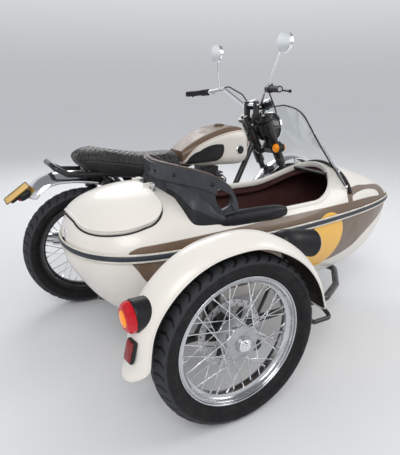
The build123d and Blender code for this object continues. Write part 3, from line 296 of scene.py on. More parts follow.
def slab(width, depth, thick, power):
    """Rounded plate in x, y with z as its thickness: superellipses that shrink towards both faces
    by thick/4 (1 - cos b) while they rise by thick/2 sin b."""
    count = 48
    b = np.linspace(-pi / 2, pi / 2, 9)
    rise = np.sin(b) * thick / 2
    inset = 0.25 * thick * (1 - np.cos(b))
    outline = superellipse(count, power)
    half = np.stack([np.maximum(width / 2 - inset, 1e-5), np.maximum(depth / 2 - inset, 1e-5)], -1)
    grid = np.concatenate([outline[None] * half[:, None], np.repeat(rise[:, None, None], count, 1)], -1)
    return shell(grid)


def placed(made, centre, x_dir, z_dir):
    """A shell moved so that its x and z run along the two directions."""
    z = unit(z_dir)
    x = unit(np.asarray(x_dir, float) - z * (np.asarray(x_dir, float) @ z))
    matrix = np.eye(4)
    matrix[:3, :3] = np.stack([x, np.cross(z, x), z], -1)
    matrix[:3, 3] = centre
    return repeated(made, [matrix])


def struck(node, start, towards):
    """Place and outward direction where a line meets a fixed node."""
    thing = NODES[node]
    back = thing.matrix_world.inverted()
    _, at, normal, _ = thing.ray_cast(back @ Vector(start), back.to_3x3() @ Vector(towards))
    return np.array(thing.matrix_world @ at), unit(thing.matrix_world.to_3x3() @ normal)


def put(name, made, finish, stands_for=(), crease=40, body="chassis", second=None, values=None):
    """Makes the object of a shell, gives it a finish and lets it ride on a body.

    second is another finish and the faces that have it, as an array of true and false.
    values is a name and a number for each point, read by the finish.
    """
    verts, quads, tris = made
    mesh = bpy.data.meshes.new(name)
    mesh.from_pydata(verts.tolist(), [], quads.tolist() + tris.tolist())
    mesh.shade_smooth()
    mesh.set_sharp_from_angle(angle=radians(crease))
    mesh.materials.append(FINISHES[finish])
    if second:
        mesh.materials.append(FINISHES[second[0]])
        mesh.polygons.foreach_set("material_index", second[1].astype(np.int32))
    if values:
        held = mesh.attributes.new(values[0], "FLOAT", "POINT").data
        held.foreach_set("value", values[1].ravel().astype(np.float32))
    thing = bpy.data.objects.new(name, mesh)
    bpy.context.scene.collection.objects.link(thing)
    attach(thing, body)
    if stands_for:
        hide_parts(*stands_for)
    return thing


# Finishes

class Finish:
    """A material being made: its nodes, and short words for the sums that its patterns need."""

    def __init__(self, name, **sockets):
        self.material = bpy.data.materials.new(name)
        self.material.use_nodes = True
        self.nodes = self.material.node_tree.nodes
        self.links = self.material.node_tree.links
        self.shader = self.nodes["Principled BSDF"]
        self.coords = self.nodes.new("ShaderNodeTexCoord").outputs["Object"]
        for socket, value in sockets.items():
            self.set(socket.replace("_", " "), value)

    def set(self, socket, value):
        """Sets one of the shader's sockets to a number, a colour or another node's output."""
        held = self.shader.inputs[socket]
        if hasattr(value, "is_linked"):
            self.links.new(value, held)
        elif held.type == "RGBA":
            held.default_value = (*value[:3], 1)
        else:
            held.default_value = value

    def node(self, kind, inputs=(), **settings):
        made = self.nodes.new(kind)
        for key, value in settings.items():
            setattr(made, key, value)
        for key, value in dict(inputs).items():
            if hasattr(value, "is_linked"):
                self.links.new(value, made.inputs[key])
            else:
                made.inputs[key].default_value = value
        return made

    def sum(self, operation, a, b=0.0, c=0.0):
        return self.node("ShaderNodeMath", {0: a, 1: b, 2: c}, operation=operation).outputs[0]

    def plus(self, a, b):
        return self.sum("ADD", a, b)

    def minus(self, a, b):
        return self.sum("SUBTRACT", a, b)

    def times(self, a, b):
        return self.sum("MULTIPLY", a, b)

    def larger(self, a, b):
        return self.sum("MAXIMUM", a, b)

    def axis(self, which, vector=None):
        split = self.node("ShaderNodeSeparateXYZ", {0: vector or self.coords})
        return split.outputs["XYZ".index(which)]

    def step(self, value, low, high):
        """0 below low, 1 above high, smooth between."""
        return self.node("ShaderNodeMapRange", {"Value": value, "From Min": low, "From Max": high},
                         interpolation_type="SMOOTHSTEP").outputs["Result"]

    def spread(self, value, low, high, out_low, out_high):
        """Straight from (low, out_low) to (high, out_high)."""
        return self.node("ShaderNodeMapRange", {
            "Value": value, "From Min": low, "From Max": high, "To Min": out_low, "To Max": out_high,
        }).outputs["Result"]

    def noise(self, scale, detail, roughness, vector=None):
        return self.node("ShaderNodeTexNoise", {
            "Vector": vector or self.coords, "Scale": scale, "Detail": detail, "Roughness": roughness,
        }).outputs["Fac"]

    def stretched(self, scale):
        """Object coordinates stretched by scale."""
        return self.node("ShaderNodeMapping", {"Vector": self.coords, "Scale": scale}).outputs[0]

    def mix(self, factor, a, b):
        made = self.node("ShaderNodeMix", {"Factor": factor}, data_type="RGBA")
        for socket, value in ((made.inputs[6], a), (made.inputs[7], b)):
            if hasattr(value, "is_linked"):
                self.links.new(value, socket)
            else:
                socket.default_value = (*value[:3], 1)
        return made.outputs[2]

    def curve(self, value, points):
        """Smooth function through (x, y) points, as a float curve between their extremes."""
        xs, ys = [p[0] for p in points], [p[1] for p in points]
        x0, x1, y0, y1 = min(xs), max(xs), min(ys), max(ys)
        made = self.node("ShaderNodeFloatCurve", {"Value": self.spread(value, x0, x1, 0, 1)})
        line = made.mapping.curves[0]
        while len(line.points) < len(points):
            line.points.new(0.5, 0.5)
        for point, x, y in zip(line.points, xs, ys):
            point.location = ((x - x0) / (x1 - x0), (y - y0) / (y1 - y0))
            point.handle_type = "AUTO"
        made.mapping.update()
        return self.spread(made.outputs[0], 0, 1, y0, y1)

    def mottled(self, tint, factor, noise, low, high):
        """Colours it with a tint, brighter or darker by a factor where a noise of that scale, detail and
        roughness is high."""
        patches = self.step(self.noise(*noise), low, high)
        self.set("Base Color", self.mix(patches, tint, shade(tint, factor)))

    def dulled(self, noise, low, high):
        """Makes it rougher and smoother by a noise, between two values."""
        self.set("Roughness", self.spread(self.noise(*noise), 0.3, 0.7, low, high))

    def bump(self, height, distance, strength):
        inputs = {"Height": height, "Distance": distance, "Strength": strength}
        self.set("Normal", self.node("ShaderNodeBump", inputs).outputs[0])


def shade(rgb, factor):
    return tuple(min(1.0, c * factor) for c in rgb)


def lacquer(name, base, paint=None, coat=0.42):
    """Sprayed lacquer: a faint mottle and dust in the colour, orange peel in the coat."""
    f = Finish(name, Roughness=0.32, Coat_Weight=coat, Coat_Roughness=0.12, Specular_IOR_Level=0.42)
    ground = paint(f) if paint else base
    mottle = f.noise(9.0, 4.0, 0.6)
    dust = f.step(f.noise(60.0, 5.0, 0.75), 0.56, 0.80)
    depth, dull = (0.07, (0.35, 0.31, 0.27)) if paint else (0.14, shade(base, 0.86))
    tone = f.mix(f.spread(mottle, 0.3, 0.7, 0.0, depth), ground, dull)
    f.set("Base Color", f.mix(f.times(dust, 0.10), tone, (0.42, 0.38, 0.33)))
    f.dulled((14.0, 4.0, 0.6), 0.34, 0.50)
    f.bump(f.noise(420.0, 1.0, 0.4), 0.00006, 0.35)
    return f.material


# The painted disc in the side view (x, z): its middle and its half sizes, in metres
DISC_AT, DISC_HALF = (0.925, 0.463), (0.130, 0.146)


def side_pattern(paint, shift):
    """Brown bands above and below the waist, the plain disc and the looped patch at the nose.

    All are areas of the side view: a point (x, z) is inside where it lies between two curves of x.
    """
    def ground(f):
        x = f.minus(f.axis("X"), shift)
        z = f.axis("Z")
        edge = 0.0016

        def inside(low, high, start, end):
            """1 between the curves low(x) and high(x) and between two ends."""
            above = f.step(f.minus(z, low), -edge, edge)
            below = f.step(f.minus(high, z), -edge, edge)
            within = f.times(f.step(x, start - edge, start + edge),
                             f.minus(1.0, f.step(x, end - edge, end + edge)))
            return f.times(f.times(above, below), within)

        upper_high = f.curve(x, [(-0.075, 0.578), (-0.055, 0.605), (0.0, 0.617), (0.30, 0.628), (0.80, 0.634),
                                 (1.15, 0.630), (1.40, 0.612), (1.56, 0.590)])
        upper = inside(0.560, upper_high, -0.074, 1.56)
        lower_low = f.curve(x, [(-0.075, 0.572), (-0.045, 0.530), (0.005, 0.461), (0.10, 0.398),
                                (0.30, 0.350), (0.60, 0.333), (0.936, 0.330), (1.113, 0.348),
                                (1.299, 0.432), (1.50, 0.520), (1.58, 0.570)])
        lower = inside(lower_low, 0.576, -0.074, 1.58)
        loop_high = f.curve(x, [(1.080, 0.655), (1.094, 0.683), (1.160, 0.693), (1.289, 0.681),
                                (1.452, 0.655), (1.500, 0.630), (1.515, 0.608)])
        loop_outer = inside(0.590, loop_high, 1.080, 1.515)
        hole_high = f.curve(x, [(1.120, 0.640), (1.134, 0.657), (1.229, 0.665), (1.357, 0.649),
                                (1.398, 0.632), (1.408, 0.616)])
        hole_low = f.curve(x, [(1.120, 0.626), (1.160, 0.612), (1.250, 0.606), (1.339, 0.604),
                               (1.408, 0.612)])
        loop_hole = inside(hole_low, hole_high, 1.120, 1.408)
        brown = f.larger(f.larger(upper, lower), f.times(loop_outer, f.minus(1.0, loop_hole)))
        dx, dz = (f.sum("DIVIDE", f.minus(value, middle), half)
                  for value, middle, half in zip((x, z), DISC_AT, DISC_HALF))
        far = f.sum("SQRT", f.plus(f.times(dx, dx), f.times(dz, dz)))
        disc = f.minus(1.0, f.step(far, 0.985, 1.0))
        painted = f.mix(brown, paint.cream, paint.brown)
        return f.mix(disc, painted, paint.disc)
    return ground


def lined(pattern, paint, shift):
    """The side pattern outside and the dark lining inside, told apart by the way the face looks."""
    def ground(f):
        facing = f.node("ShaderNodeTexCoord").outputs["Normal"]
        y = f.minus(f.axis("Y"), shift[1] + BODY_Y * MM)
        z = f.minus(f.axis("Z"), WAIST_Z * MM)
        x = f.minus(f.axis("X"), shift[0] + 0.60)
        out = f.plus(f.times(f.axis("Y", facing), y), f.times(f.axis("Z", facing), z))
        out = f.plus(out, f.times(f.times(f.axis("X", facing), x), 0.25))
        return f.mix(f.step(out, -0.004, 0.004), paint.maroon, pattern(f))
    return ground


def tank_pattern(paint, shift):
    """Brown crown of the tank, above a curve of x in the side view, with a fine pale line under it."""
    def ground(f):
        x = f.minus(f.axis("X"), shift)
        over = f.minus(f.axis("Z"), f.curve(x, [
            (0.500, 0.690), (0.575, 0.762), (0.639, 0.832), (0.700, 0.868), (0.771, 0.894), (0.888, 0.917),
            (1.050, 0.920)]))
        line = f.times(f.step(over, -0.0075, -0.0065), f.minus(1.0, f.step(over, -0.0045, -0.0035)))
        edged = f.mix(line, paint.cream, shade(paint.brown, 3.2))
        return f.mix(f.step(over, -0.0008, 0.0008), edged, paint.brown)
    return ground


def chromed(name, tint=(0.83, 0.84, 0.86), rough=0.07):
    """Bright plate with hairline wipes and a little haze."""
    f = Finish(name, Metallic=1.0, Base_Color=tint)
    wipes = f.noise(90.0, 4.0, 0.7, f.stretched((1, 1, 6)))
    f.set("Roughness", f.spread(wipes, 0.3, 0.75, rough, rough + 0.12))
    f.mottled(tint, 0.80, (22.0, 5.0, 0.7), 0.50, 0.80)
    f.bump(wipes, 0.00004, 0.2)
    return f.material


def cast(name, tint, rough=0.42, metal=1.0):
    """Sand-cast alloy: pitted grain, darker in its hollows."""
    f = Finish(name, Metallic=metal)
    grain = f.noise(380.0, 3.0, 0.6)
    f.mottled(tint, 0.62, (30.0, 5.0, 0.7), 0.40, 0.75)
    f.set("Roughness", f.spread(grain, 0.3, 0.7, rough - 0.08, rough + 0.14))
    f.bump(grain, 0.00025, 0.55)
    return f.material


def enamel(name, tint):
    """Black stoved enamel with fine dust and scuffs."""
    f = Finish(name, Coat_Weight=0.35, Coat_Roughness=0.12)
    scuff = f.step(f.noise(48.0, 6.0, 0.8, f.stretched((1, 1, 3))), 0.58, 0.78)
    f.set("Base Color", f.mix(f.times(scuff, 0.35), tint, (0.10, 0.095, 0.09)))
    f.dulled((26.0, 4.0, 0.6), 0.22, 0.44)
    f.bump(f.noise(260.0, 2.0, 0.5), 0.0001, 0.4)
    return f.material


def rubber(name, tint, rough, dust, grain=900.0, dust_and_highlight_tint=None):
    """Moulded rubber: a matt grain and pale dust where it has rolled or been touched."""
    f = Finish(name, Specular_IOR_Level=0.25)
    film = f.step(f.noise(17.0, 6.0, 0.75), 0.42, 0.80)
    # On the tyres the tops of the tread blocks are painted paler than the grooves and walls: partly dust,
    # partly a painted highlight
    if dust_and_highlight_tint:
        tread_dust_and_highlight = f.node("ShaderNodeAttribute", attribute_name="tread_dust_and_highlight").outputs["Fac"]
        tint = f.mix(tread_dust_and_highlight, tint, dust_and_highlight_tint)
    f.set("Base Color", f.mix(f.times(film, dust), tint, (0.16, 0.15, 0.14)))
    f.dulled((50.0, 4.0, 0.6), rough - 0.12, rough + 0.1)
    f.bump(f.noise(grain, 2.0, 0.6), 0.00018, 0.5)
    return f.material


def hide(name, tint, rough=0.46):
    """Leathercloth: cells of grain, rubbed paler on the crests."""
    f = Finish(name, Sheen_Weight=0.12, Sheen_Roughness=0.5, Specular_IOR_Level=0.45)
    cells = f.node("ShaderNodeTexVoronoi", {"Vector": f.coords, "Scale": 330.0}, feature="DISTANCE_TO_EDGE")
    grain = f.step(cells.outputs["Distance"], 0.0, 0.28)
    f.mottled(tint, 1.75, (11.0, 5.0, 0.65), 0.40, 0.78)
    f.dulled((70.0, 3.0, 0.5), rough - 0.1, rough + 0.12)
    f.bump(f.sum("MULTIPLY_ADD", f.noise(25.0, 3.0, 0.5), 1.6, grain), 0.00035, 0.5)
    return f.material


def moulding(name, tint, rough):
    """Grained plastic with a soft shine."""
    f = Finish(name, Specular_IOR_Level=0.3)
    f.mottled(tint, 1.5, (14.0, 5.0, 0.7), 0.40, 0.80)
    f.dulled((35.0, 4.0, 0.6), rough - 0.08, rough + 0.12)
    f.bump(f.noise(520.0, 2.0, 0.55), 0.00015, 0.45)
    return f.material


def lens(name, tint, rough, through, painted_glow=0.0):
    """Moulded lamp lens: coloured plastic with fine prism lines."""
    f = Finish(name, Transmission_Weight=through, IOR=1.49, Roughness=rough, Coat_Weight=0.2,
               Specular_IOR_Level=0.4)
    f.mottled(tint, 0.72, (26.0, 4.0, 0.6), 0.35, 0.75)
    # Painted glow: the lens gives off a little light of its own colour
    if painted_glow:
        f.set("Emission Color", tint)
        f.set("Emission Strength", painted_glow)
    rows = f.node("ShaderNodeTexWave", {"Vector": f.coords, "Scale": 75.0}, bands_direction="Z")
    f.bump(rows.outputs["Fac"], 0.0004, 0.5)
    return f.material


def acrylic(name):
    """Clear bent sheet with a trace of haze and fine wiping marks."""
    f = Finish(name, Transmission_Weight=1.0, IOR=1.02, Specular_IOR_Level=0.5,
               Coat_Weight=0.55, Coat_Roughness=0.03, Coat_IOR=1.5)
    film = f.step(f.noise(7.0, 4.0, 0.6), 0.35, 0.75)
    f.set("Base Color", f.mix(film, (0.955, 0.975, 0.97), (0.90, 0.93, 0.92)))
    f.set("Roughness", f.spread(f.noise(120.0, 5.0, 0.8, f.stretched((1, 1, 4))), 0.45, 0.8, 0.0, 0.05))
    return f.material


FINISHES = {}


# The fixed nodes that show, by their finish
DRESSED = {
    "body": ["sidecar_deck", "sidecar_hull"],
    "cream": ["boot_lid"],
    "tank": ["fuel_tank"],
    "chrome": ["front_mudguard", "handlebar", "mirrors", "exhaust", "lid_hinge"],
    "engine": ["engine"],
    "black": ["motorcycle_frame", "swing_arm", "sidecar_frame", "sidecar_step", "side_arm", "fork",
              "mudguard_stays", "grab_handle", "shock_absorbers", "headlamp"],
    "plastic": ["air_box", "gauges", "controls", "side_panels", "indicators"],
    "rubber": ["grips", "knee_pads", "cables"],
    "collar": ["seat_collar"],
    "maroon": ["bulkhead", "cockpit_floor"],
    "clear": ["headlamp_lens"],
}


class OUTFIT_OT_finishes(bpy.types.Operator):
    """Mixes every finish and gives it to the fixed nodes that show."""
    bl_idname = "outfit.finishes"
    bl_label = "Finishes"

    def execute(self, context):
        paint = context.scene.outfit_paint
        pattern = side_pattern(paint, HOME[0])
        FINISHES.update({
            "cream": lacquer("cream_lacquer", paint.cream),
            "body": lacquer("sidecar_lacquer", paint.cream, lined(pattern, paint, HOME)),
            "tank": lacquer("tank_lacquer", paint.cream, tank_pattern(paint, HOME[0]), 0.2),
            "chrome": chromed("chrome_plate"),
            "mirror": chromed("mirror_glass", (0.90, 0.93, 0.95), 0.02),
            "rim": chromed("polished_rim", (0.60, 0.61, 0.63), 0.15),
            "steel": chromed("brushed_steel", (0.55, 0.55, 0.56), 0.24),
            "alloy": cast("cast_alloy_grain", (0.50, 0.51, 0.53)),
            "engine": cast("engine_alloy", (0.075, 0.076, 0.080), 0.46, 0.7),
            "black_alloy": cast("black_cast_alloy", (0.030, 0.030, 0.032), 0.5, 0.4),
            "black": enamel("black_enamel", paint.black),
            # The tread's block tops take a paler tint: dust and a painted highlight
            "tyre": rubber("tyre_tread_rubber", (0.008, 0.008, 0.009), 0.66, 0.10,
                           dust_and_highlight_tint=(0.038, 0.039, 0.043)),
            "rubber": rubber("moulded_rubber", (0.016, 0.016, 0.017), 0.6, 0.20),
            "rail": rubber("rail_rubber", paint.rail, 0.42, 0.16, 500.0),
            "piping": moulding("pale_piping", (0.60, 0.57, 0.51), 0.38),
            "saddle": hide("saddle_leathercloth", paint.leather),
            "maroon": hide("maroon_leathercloth", paint.maroon),
            # Painted shade: a darker copy of the collar's moulding for the lower faces of its skirt
            "collar_painted_shade": moulding("collar_painted_shade_moulding", shade(paint.collar, 0.36), 0.55),
            "roll": hide("roll_leathercloth", (0.050, 0.030, 0.022), 0.5),
            "edge": moulding("screen_edging", (0.020, 0.021, 0.022), 0.30),
            "housing": moulding("lamp_housing", (0.012, 0.012, 0.013), 0.40),
            # The side mudguard's inner faces are painted dark brown
            "guard_inside_dark": rubber("guard_inside_dark_finish", (0.020, 0.016, 0.013), 0.82, 0.45, 260.0),
            "reflex": lens("reflector_prisms", (0.30, 0.010, 0.012), 0.20, 0.12),
            "collar": moulding("collar_moulding", paint.collar, 0.36),
            "plastic": moulding("black_moulding", (0.010, 0.010, 0.012), 0.40),
            # The red and amber lenses carry a painted glow
            "red": lens("red_lens_plastic", (0.50, 0.002, 0.010), 0.20, 0.0, 0.16),
            "amber": lens("amber_lens_plastic", (0.88, 0.27, 0.006), 0.20, 0.0, 0.32),
            "clear": lens("clear_lens_plastic", (0.82, 0.85, 0.86), 0.10, 0.55),
            "acrylic": acrylic("screen_acrylic"),
            "plate": lacquer("plate_lacquer", paint.plate),
            "dial": moulding("dial_face", (0.70, 0.71, 0.70), 0.30),
        })
        for finish, names in DRESSED.items():
            for name in names:
                for held in NODES[name].material_slots:
                    held.material = FINISHES[finish]
        return {"FINISHED"}


# Wheels

# Radius and half width of the tyre and radius of the rim's seat, in metres
ROAD_WHEEL = (0.3235, 0.054, 0.246)
FRONT_WHEEL = (0.331, 0.048, 0.257)
FRONT_DISC_R = 0.140
SPROCKET_TEETH = 46
FLANGE_R, FLANGE_Y = 0.060, 0.030       # where the spokes hook into the hub
CROSSING = radians(50)                  # how far a spoke's head is turned from its foot


def tyre_shell(hub, axle, radius, half_w, rim_r, blocks, groove):
    """Tyre as a closed outline turned round the axle, with its tread pressed in.

    The outline is a superellipse of the wall, flattened at the seat. Over the crown the radius
    drops by groove times the pattern: hooks that swing back with the share s = |y| / w of the width,
    phase = blocks a / turn + 0.75 s + 0.16 sin 7s, and a wavy groove each side of the centre rib.
    """
    seat, bead, shoulder = rim_r - 0.012, RIM_HALF_W * MM - 0.0055, radius - 0.030
    a = np.linspace(-1, 1, 72)
    half_turn = a * pi * 0.80
    mid = (radius + rim_r) / 2 + 0.002
    tall = radius - mid
    across_w = np.sign(np.sin(half_turn)) * np.abs(np.sin(half_turn)) ** 0.86 * half_w
    up = np.sign(np.cos(half_turn)) * np.abs(np.cos(half_turn)) ** 0.80 * tall + mid
    up, across_w = np.append(up, [seat, seat]), np.append(across_w, [bead, -bead])
    up[0] = up[-3] = rim_r + 0.001
    across_w[0], across_w[-3] = -(bead + 0.002), bead + 0.002
    theta, y = turns(blocks * 22)[:, None], across_w[None]
    share = np.abs(y) / half_w
    phase = blocks * theta / TURN + np.where(y > 0, 0.5, 0.0) + 0.75 * share + 0.16 * np.sin(7 * share)
    hooks = np.exp(-((np.abs((phase % 1) - 0.5) - 0.5) / 0.115) ** 2)
    hooks = hooks * np.clip((share - 0.22) / 0.06, 0, 1) * np.clip((0.93 - share) / 0.06, 0, 1)
    sway = 0.27 + 0.035 * np.sin(2 * phase * TURN)
    rings = np.exp(-((share - sway) / 0.045) ** 2)
    on_top = np.clip((up[None] - shoulder) / 0.006, 0, 1)
    pressed = groove * np.maximum(hooks, 0.85 * rings) * on_top
    walls = 0.0007 * np.sin(up * 1400) * (up < shoulder) * (up > rim_r + 0.006)
    grow = up[None] - pressed
    side = y + np.sign(y) * walls[None]
    grid = (hub + grow[..., None] * spokewise(axle, theta)
            + np.broadcast_to(side, grow.shape)[..., None] * unit(axle))
    # The second value is 1 on the tops of the tread blocks and 0 in the grooves and on the walls: where the
    # dust and painted highlight go
    return shell(grid, wrap_rows=True), on_top * (1 - np.minimum(1, 1.3 * pressed / groove))


def rim_shell(hub, axle, rim_r):
    """Dropped-centre rim with two rolled lips, as one closed outline turned round the axle."""
    half, well = RIM_HALF_W * MM, rim_r - 0.032
    lip = [(rim_r - 0.0025 + 0.0035 * cos(t), half - 0.0035 + 0.0035 * sin(t))
           for t in np.linspace(-1.2, 3.6, 9)]
    inner = [(rim_r - 0.015, half - 0.0025), (rim_r - 0.0185, half - 0.008), (rim_r - 0.019, 0.020),
             (rim_r - 0.024, 0.016), (well, 0.011), (well - 0.001, 0.0)]
    outer = [(well + 0.003, 0.0), (well + 0.004, 0.009), (rim_r - 0.017, 0.013),
             (rim_r - 0.015, half - 0.0065), (rim_r - 0.004, half - 0.0060)]
    right = lip + inner
    left = [(r, -y) for r, y in reversed(right[:-1])]
    back = [(r, -y) for r, y in reversed(outer)] + outer[1:]
    return lathe(right + left + back, hub, axle, 144, closed=True)


def spoke_set(hub, axle, rim_r, count, wire):
    """Laced wire spokes and their nipples.

    Spoke k runs from the flange at angle a + crossing to the rim at angle a = k turn / count, and the
    crossing alternates by pairs. One bar along z is carried to all of them by matrices.
    """
    k = np.arange(count)
    side = np.where(k % 2, 1.0, -1.0)
    foot = k * TURN / count
    head = foot + np.where(k % 4 < 2, 1, -1) * CROSSING
    n = unit(axle)

    def at(radius, angle, y):
        return hub + radius * spokewise(axle, angle) + y[:, None] * n

    start, end = at(FLANGE_R, head, side * FLANGE_Y), at(rim_r - 0.0305, foot, side * 0.004)

    def matrices(origin, towards, stretch):
        z = unit(towards)
        x = unit(np.cross(np.broadcast_to(n, z.shape), z))
        m = np.zeros((count, 4, 4))
        m[:, :3, 0], m[:, :3, 1], m[:, :3, 2] = x, np.cross(z, x), z * stretch[:, None]
        m[:, :3, 3], m[:, 3, 3] = origin, 1
        return m

    span = np.linalg.norm(end - start, axis=1)
    inwards = (end - start) / span[:, None]
    bar, nipple, elbow = (lathe(profile, (0, 0, 0), (0, 0, 1), 8) for profile in (
        [(wire, 0), (wire, 1)],
        [(0.0024, 0), (0.0030, 0.002), (0.0032, 0.015), (0.0042, 0.017), (0.0042, 0.020)],
        [(0.0030, -0.003), (0.0044, -0.0015), (0.0044, 0.002), (wire, 0.006)]))
    return joined(repeated(bar, matrices(start, end - start, span)),
                  repeated(nipple, matrices(end - inwards * 0.018, end - start, np.ones(count))),
                  repeated(elbow, matrices(start, end - start, np.ones(count))))


def hub_shells(hub, axle):
    """Cast hub: waisted barrel between two scalloped flanges, whose radius grows by 0.05 cos 9a."""
    def lobes(profile, a):
        strength = np.clip((profile[:, 0] - 0.048) / 0.014, 0, 1)[:, None]
        return 1 + 0.05 * strength * np.cos(9 * a)[None]
    barrel = [(0.009, -0.048), (0.0265, -0.048), (0.028, -0.046), (0.031, -0.038), (0.052, -0.0355),
              (0.064, -0.0345), (0.066, -0.032), (0.066, -0.028), (0.064, -0.0255), (0.048, -0.0225),
              (0.038, -0.014), (0.0355, 0.0)]
    barrel += [(r, -y) for r, y in reversed(barrel[:-1])]
    return lathe(barrel, hub, axle, 180, wave=lobes)


def drilled_disc(hub, axle, radius, y, thick):
    """Brake disc as flat cells, each with a round hole.

    A cell is a strip from its hole's circle to its own edge: P(s, t) = (1 - t) circle(s) + t edge(s),
    in polar (radius, angle), made for both faces and closed through the hole and at the two rims.
    """
    rows = [(0.80 * radius, 0.885 * radius, 0.0, 0.0042), (0.885 * radius, radius, 0.5, 0.0046)]
    holes = 24
    cell = TURN / holes
    a = turns(16)
    c, s = np.cos(a), np.sin(a)
    made = []
    for low, high, shift, hole in rows:
        middle_r = (low + high) / 2
        big = np.maximum(np.abs(c), np.abs(s))
        edge_r, edge_a = middle_r + c / big * (high - low) / 2, s / big * cell / 2
        hole_r, hole_a = middle_r + c * hole, s * hole / middle_r
        loops = [(edge_r, edge_a, y), (hole_r, hole_a, y), (hole_r, hole_a, y + thick),
                 (edge_r, edge_a, y + thick)]
        for middle_a in (np.arange(holes) + shift) * cell:
            grid = np.stack([hub + r[:, None] * spokewise(axle, t + middle_a) + h * unit(axle)
                             for r, t, h in loops])
            made.append(shell(grid, wrap_rows=True))
    return joined(*made)


def disc_carrier(hub, axle, radius, y, thick):
    """Black spider that holds the drilled disc: a ring whose outer radius swells at each of six arms,
    r = r0 + (r1 - r0) cos^6(3 a)."""
    low, high = 0.030, 0.056

    def star(profile, a):
        reach = np.clip((profile[:, 0] - 0.05) / 0.004, 0, 1)[:, None]
        return 1 + reach * (0.80 * radius / high - 1) * np.cos(3 * a)[None] ** 6
    return lathe([(low, y - thick), (high, y - thick), (high, y + thick), (low, y + thick)], hub, axle, 240,
                 wave=star, closed=True)


def axle_end(hub, axle, reach, side):
    """Nut, washer and dust seal at the end of an axle: six-sided, r = r0 / cos(a mod 60 - 30)."""
    def hexagon(profile, a):
        flat = ((profile[:, 1] * side > 0.060) & (profile[:, 1] * side < reach - 0.003))[:, None]
        six = 0.94 / np.cos((a % (TURN / 6)) - TURN / 12)
        return np.where(flat, six[None], 1.0)
    return lathe([(r, side * y) for r, y in (
        (0.009, 0.0484), (0.0225, 0.0484), (0.0235, 0.0495), (0.0235, 0.0545), (0.0170, 0.0560),
        (0.0170, 0.0600), (0.0165, 0.0605), (0.0165, reach - 0.0035), (0.0145, reach - 0.002),
        (0.0090, reach - 0.002), (0.0080, reach))], hub, axle, 96, wave=hexagon)


class OUTFIT_OT_wheels(bpy.types.Operator):
    """Makes the tyres, rims, spokes, hubs and discs of the three wheels."""
    bl_idname = "outfit.wheels"
    bl_label = "Wheels"

    def execute(self, context):
        tyres, wheels = context.scene.outfit_tyre, context.scene.outfit_wheel
        front_hub, front_axle = joint_place("front_wheel_spin")
        rows = [
            ("side", SIDE_HUB, AXLE, ROAD_WHEEL, "rim", "alloy"),
            ("rear", REAR_HUB, AXLE, ROAD_WHEEL, "black", "black_alloy"),
            ("front", front_hub, front_axle, FRONT_WHEEL, "black", "black_alloy"),
        ]
        for name, hub, axle, sizes, rim_finish, hub_finish in rows:
            rim_r, body = sizes[2], f"{name}_wheel"
            # Each tyre's block tops get the paler tint of dust and a painted highlight
            made, tread_dust_and_highlight = tyre_shell(hub, axle, *sizes, tyres.blocks, tyres.groove)
            put(f"{name}_tyre_tread", made, "tyre", [f"{name}_tyre"], 60, body=body,
                values=("tread_dust_and_highlight", tread_dust_and_highlight))
            put(f"{name}_rim_ring", rim_shell(hub, axle, rim_r), rim_finish,
                [f"{name}_rim"], 50, body=body)
            put(f"{name}_spokes", spoke_set(hub, axle, rim_r, wheels.spokes, wheels.wire), "chrome",
                body=body)
            put(f"{name}_hub", hub_shells(hub, axle), hub_finish,
                crease=35, body=body)
        for name, hub, axle, disc in (("side", SIDE_HUB, AXLE, wheels.disc),
                                      ("front", front_hub, front_axle, FRONT_DISC_R)):
            body = f"{name}_wheel"
            put(f"{name}_brake_disc", drilled_disc(hub, axle, disc, 0.0425, 0.0035), "steel",
                crease=30, body=body)
            put(f"{name}_disc_carrier", disc_carrier(hub, axle, disc, 0.0440, 0.0032), "black_alloy",
                crease=30, body=body)

        def gear(profile, a):
            """Sprocket teeth: the outer radius swings by 2.2 percent of its size as cos(teeth a)."""
            outer = np.clip((profile[:, 0] - 0.080) / 0.004, 0, 1)[:, None]
            return 1 + outer * 0.022 * np.cos(SPROCKET_TEETH * a)[None]
        sprocket = lathe([(0.024, 0.042), (0.086, 0.042), (0.086, 0.048), (0.024, 0.048)], REAR_HUB, AXLE,
                         SPROCKET_TEETH * 8, wave=gear, closed=True)
        put("rear_sprocket", sprocket, "steel", crease=30, body="rear_wheel")
        put("side_axle_nut", axle_end(SIDE_HUB, AXLE, 0.066, -1), "chrome", crease=30)
        return {"FINISHED"}


def joint_place(name):
    """Point and direction of a joint's axis as the record states them."""
    joint = next(j for j in frame["joints"] if j["name"] == name)
    return np.array(joint["pos_m"], float), unit(joint["axis"])


# Sidecar

def waist_half_w(x):
    """Half width of the waist: w (1 - s^p)^0.5, with p 4.5 towards the tail and 1.55 towards the nose."""
    tail = np.clip((BODY_WIDEST_X - x) / (BODY_WIDEST_X - BODY_TAIL_X), 0, 1) ** 4.5
    nose = np.clip((x - BODY_WIDEST_X) / (BODY_NOSE_X - BODY_WIDEST_X), 0, 1) ** 1.55
    return BODY_HALF_W * np.sqrt(np.clip(1 - np.where(x < BODY_WIDEST_X, tail, nose), 0, 1))


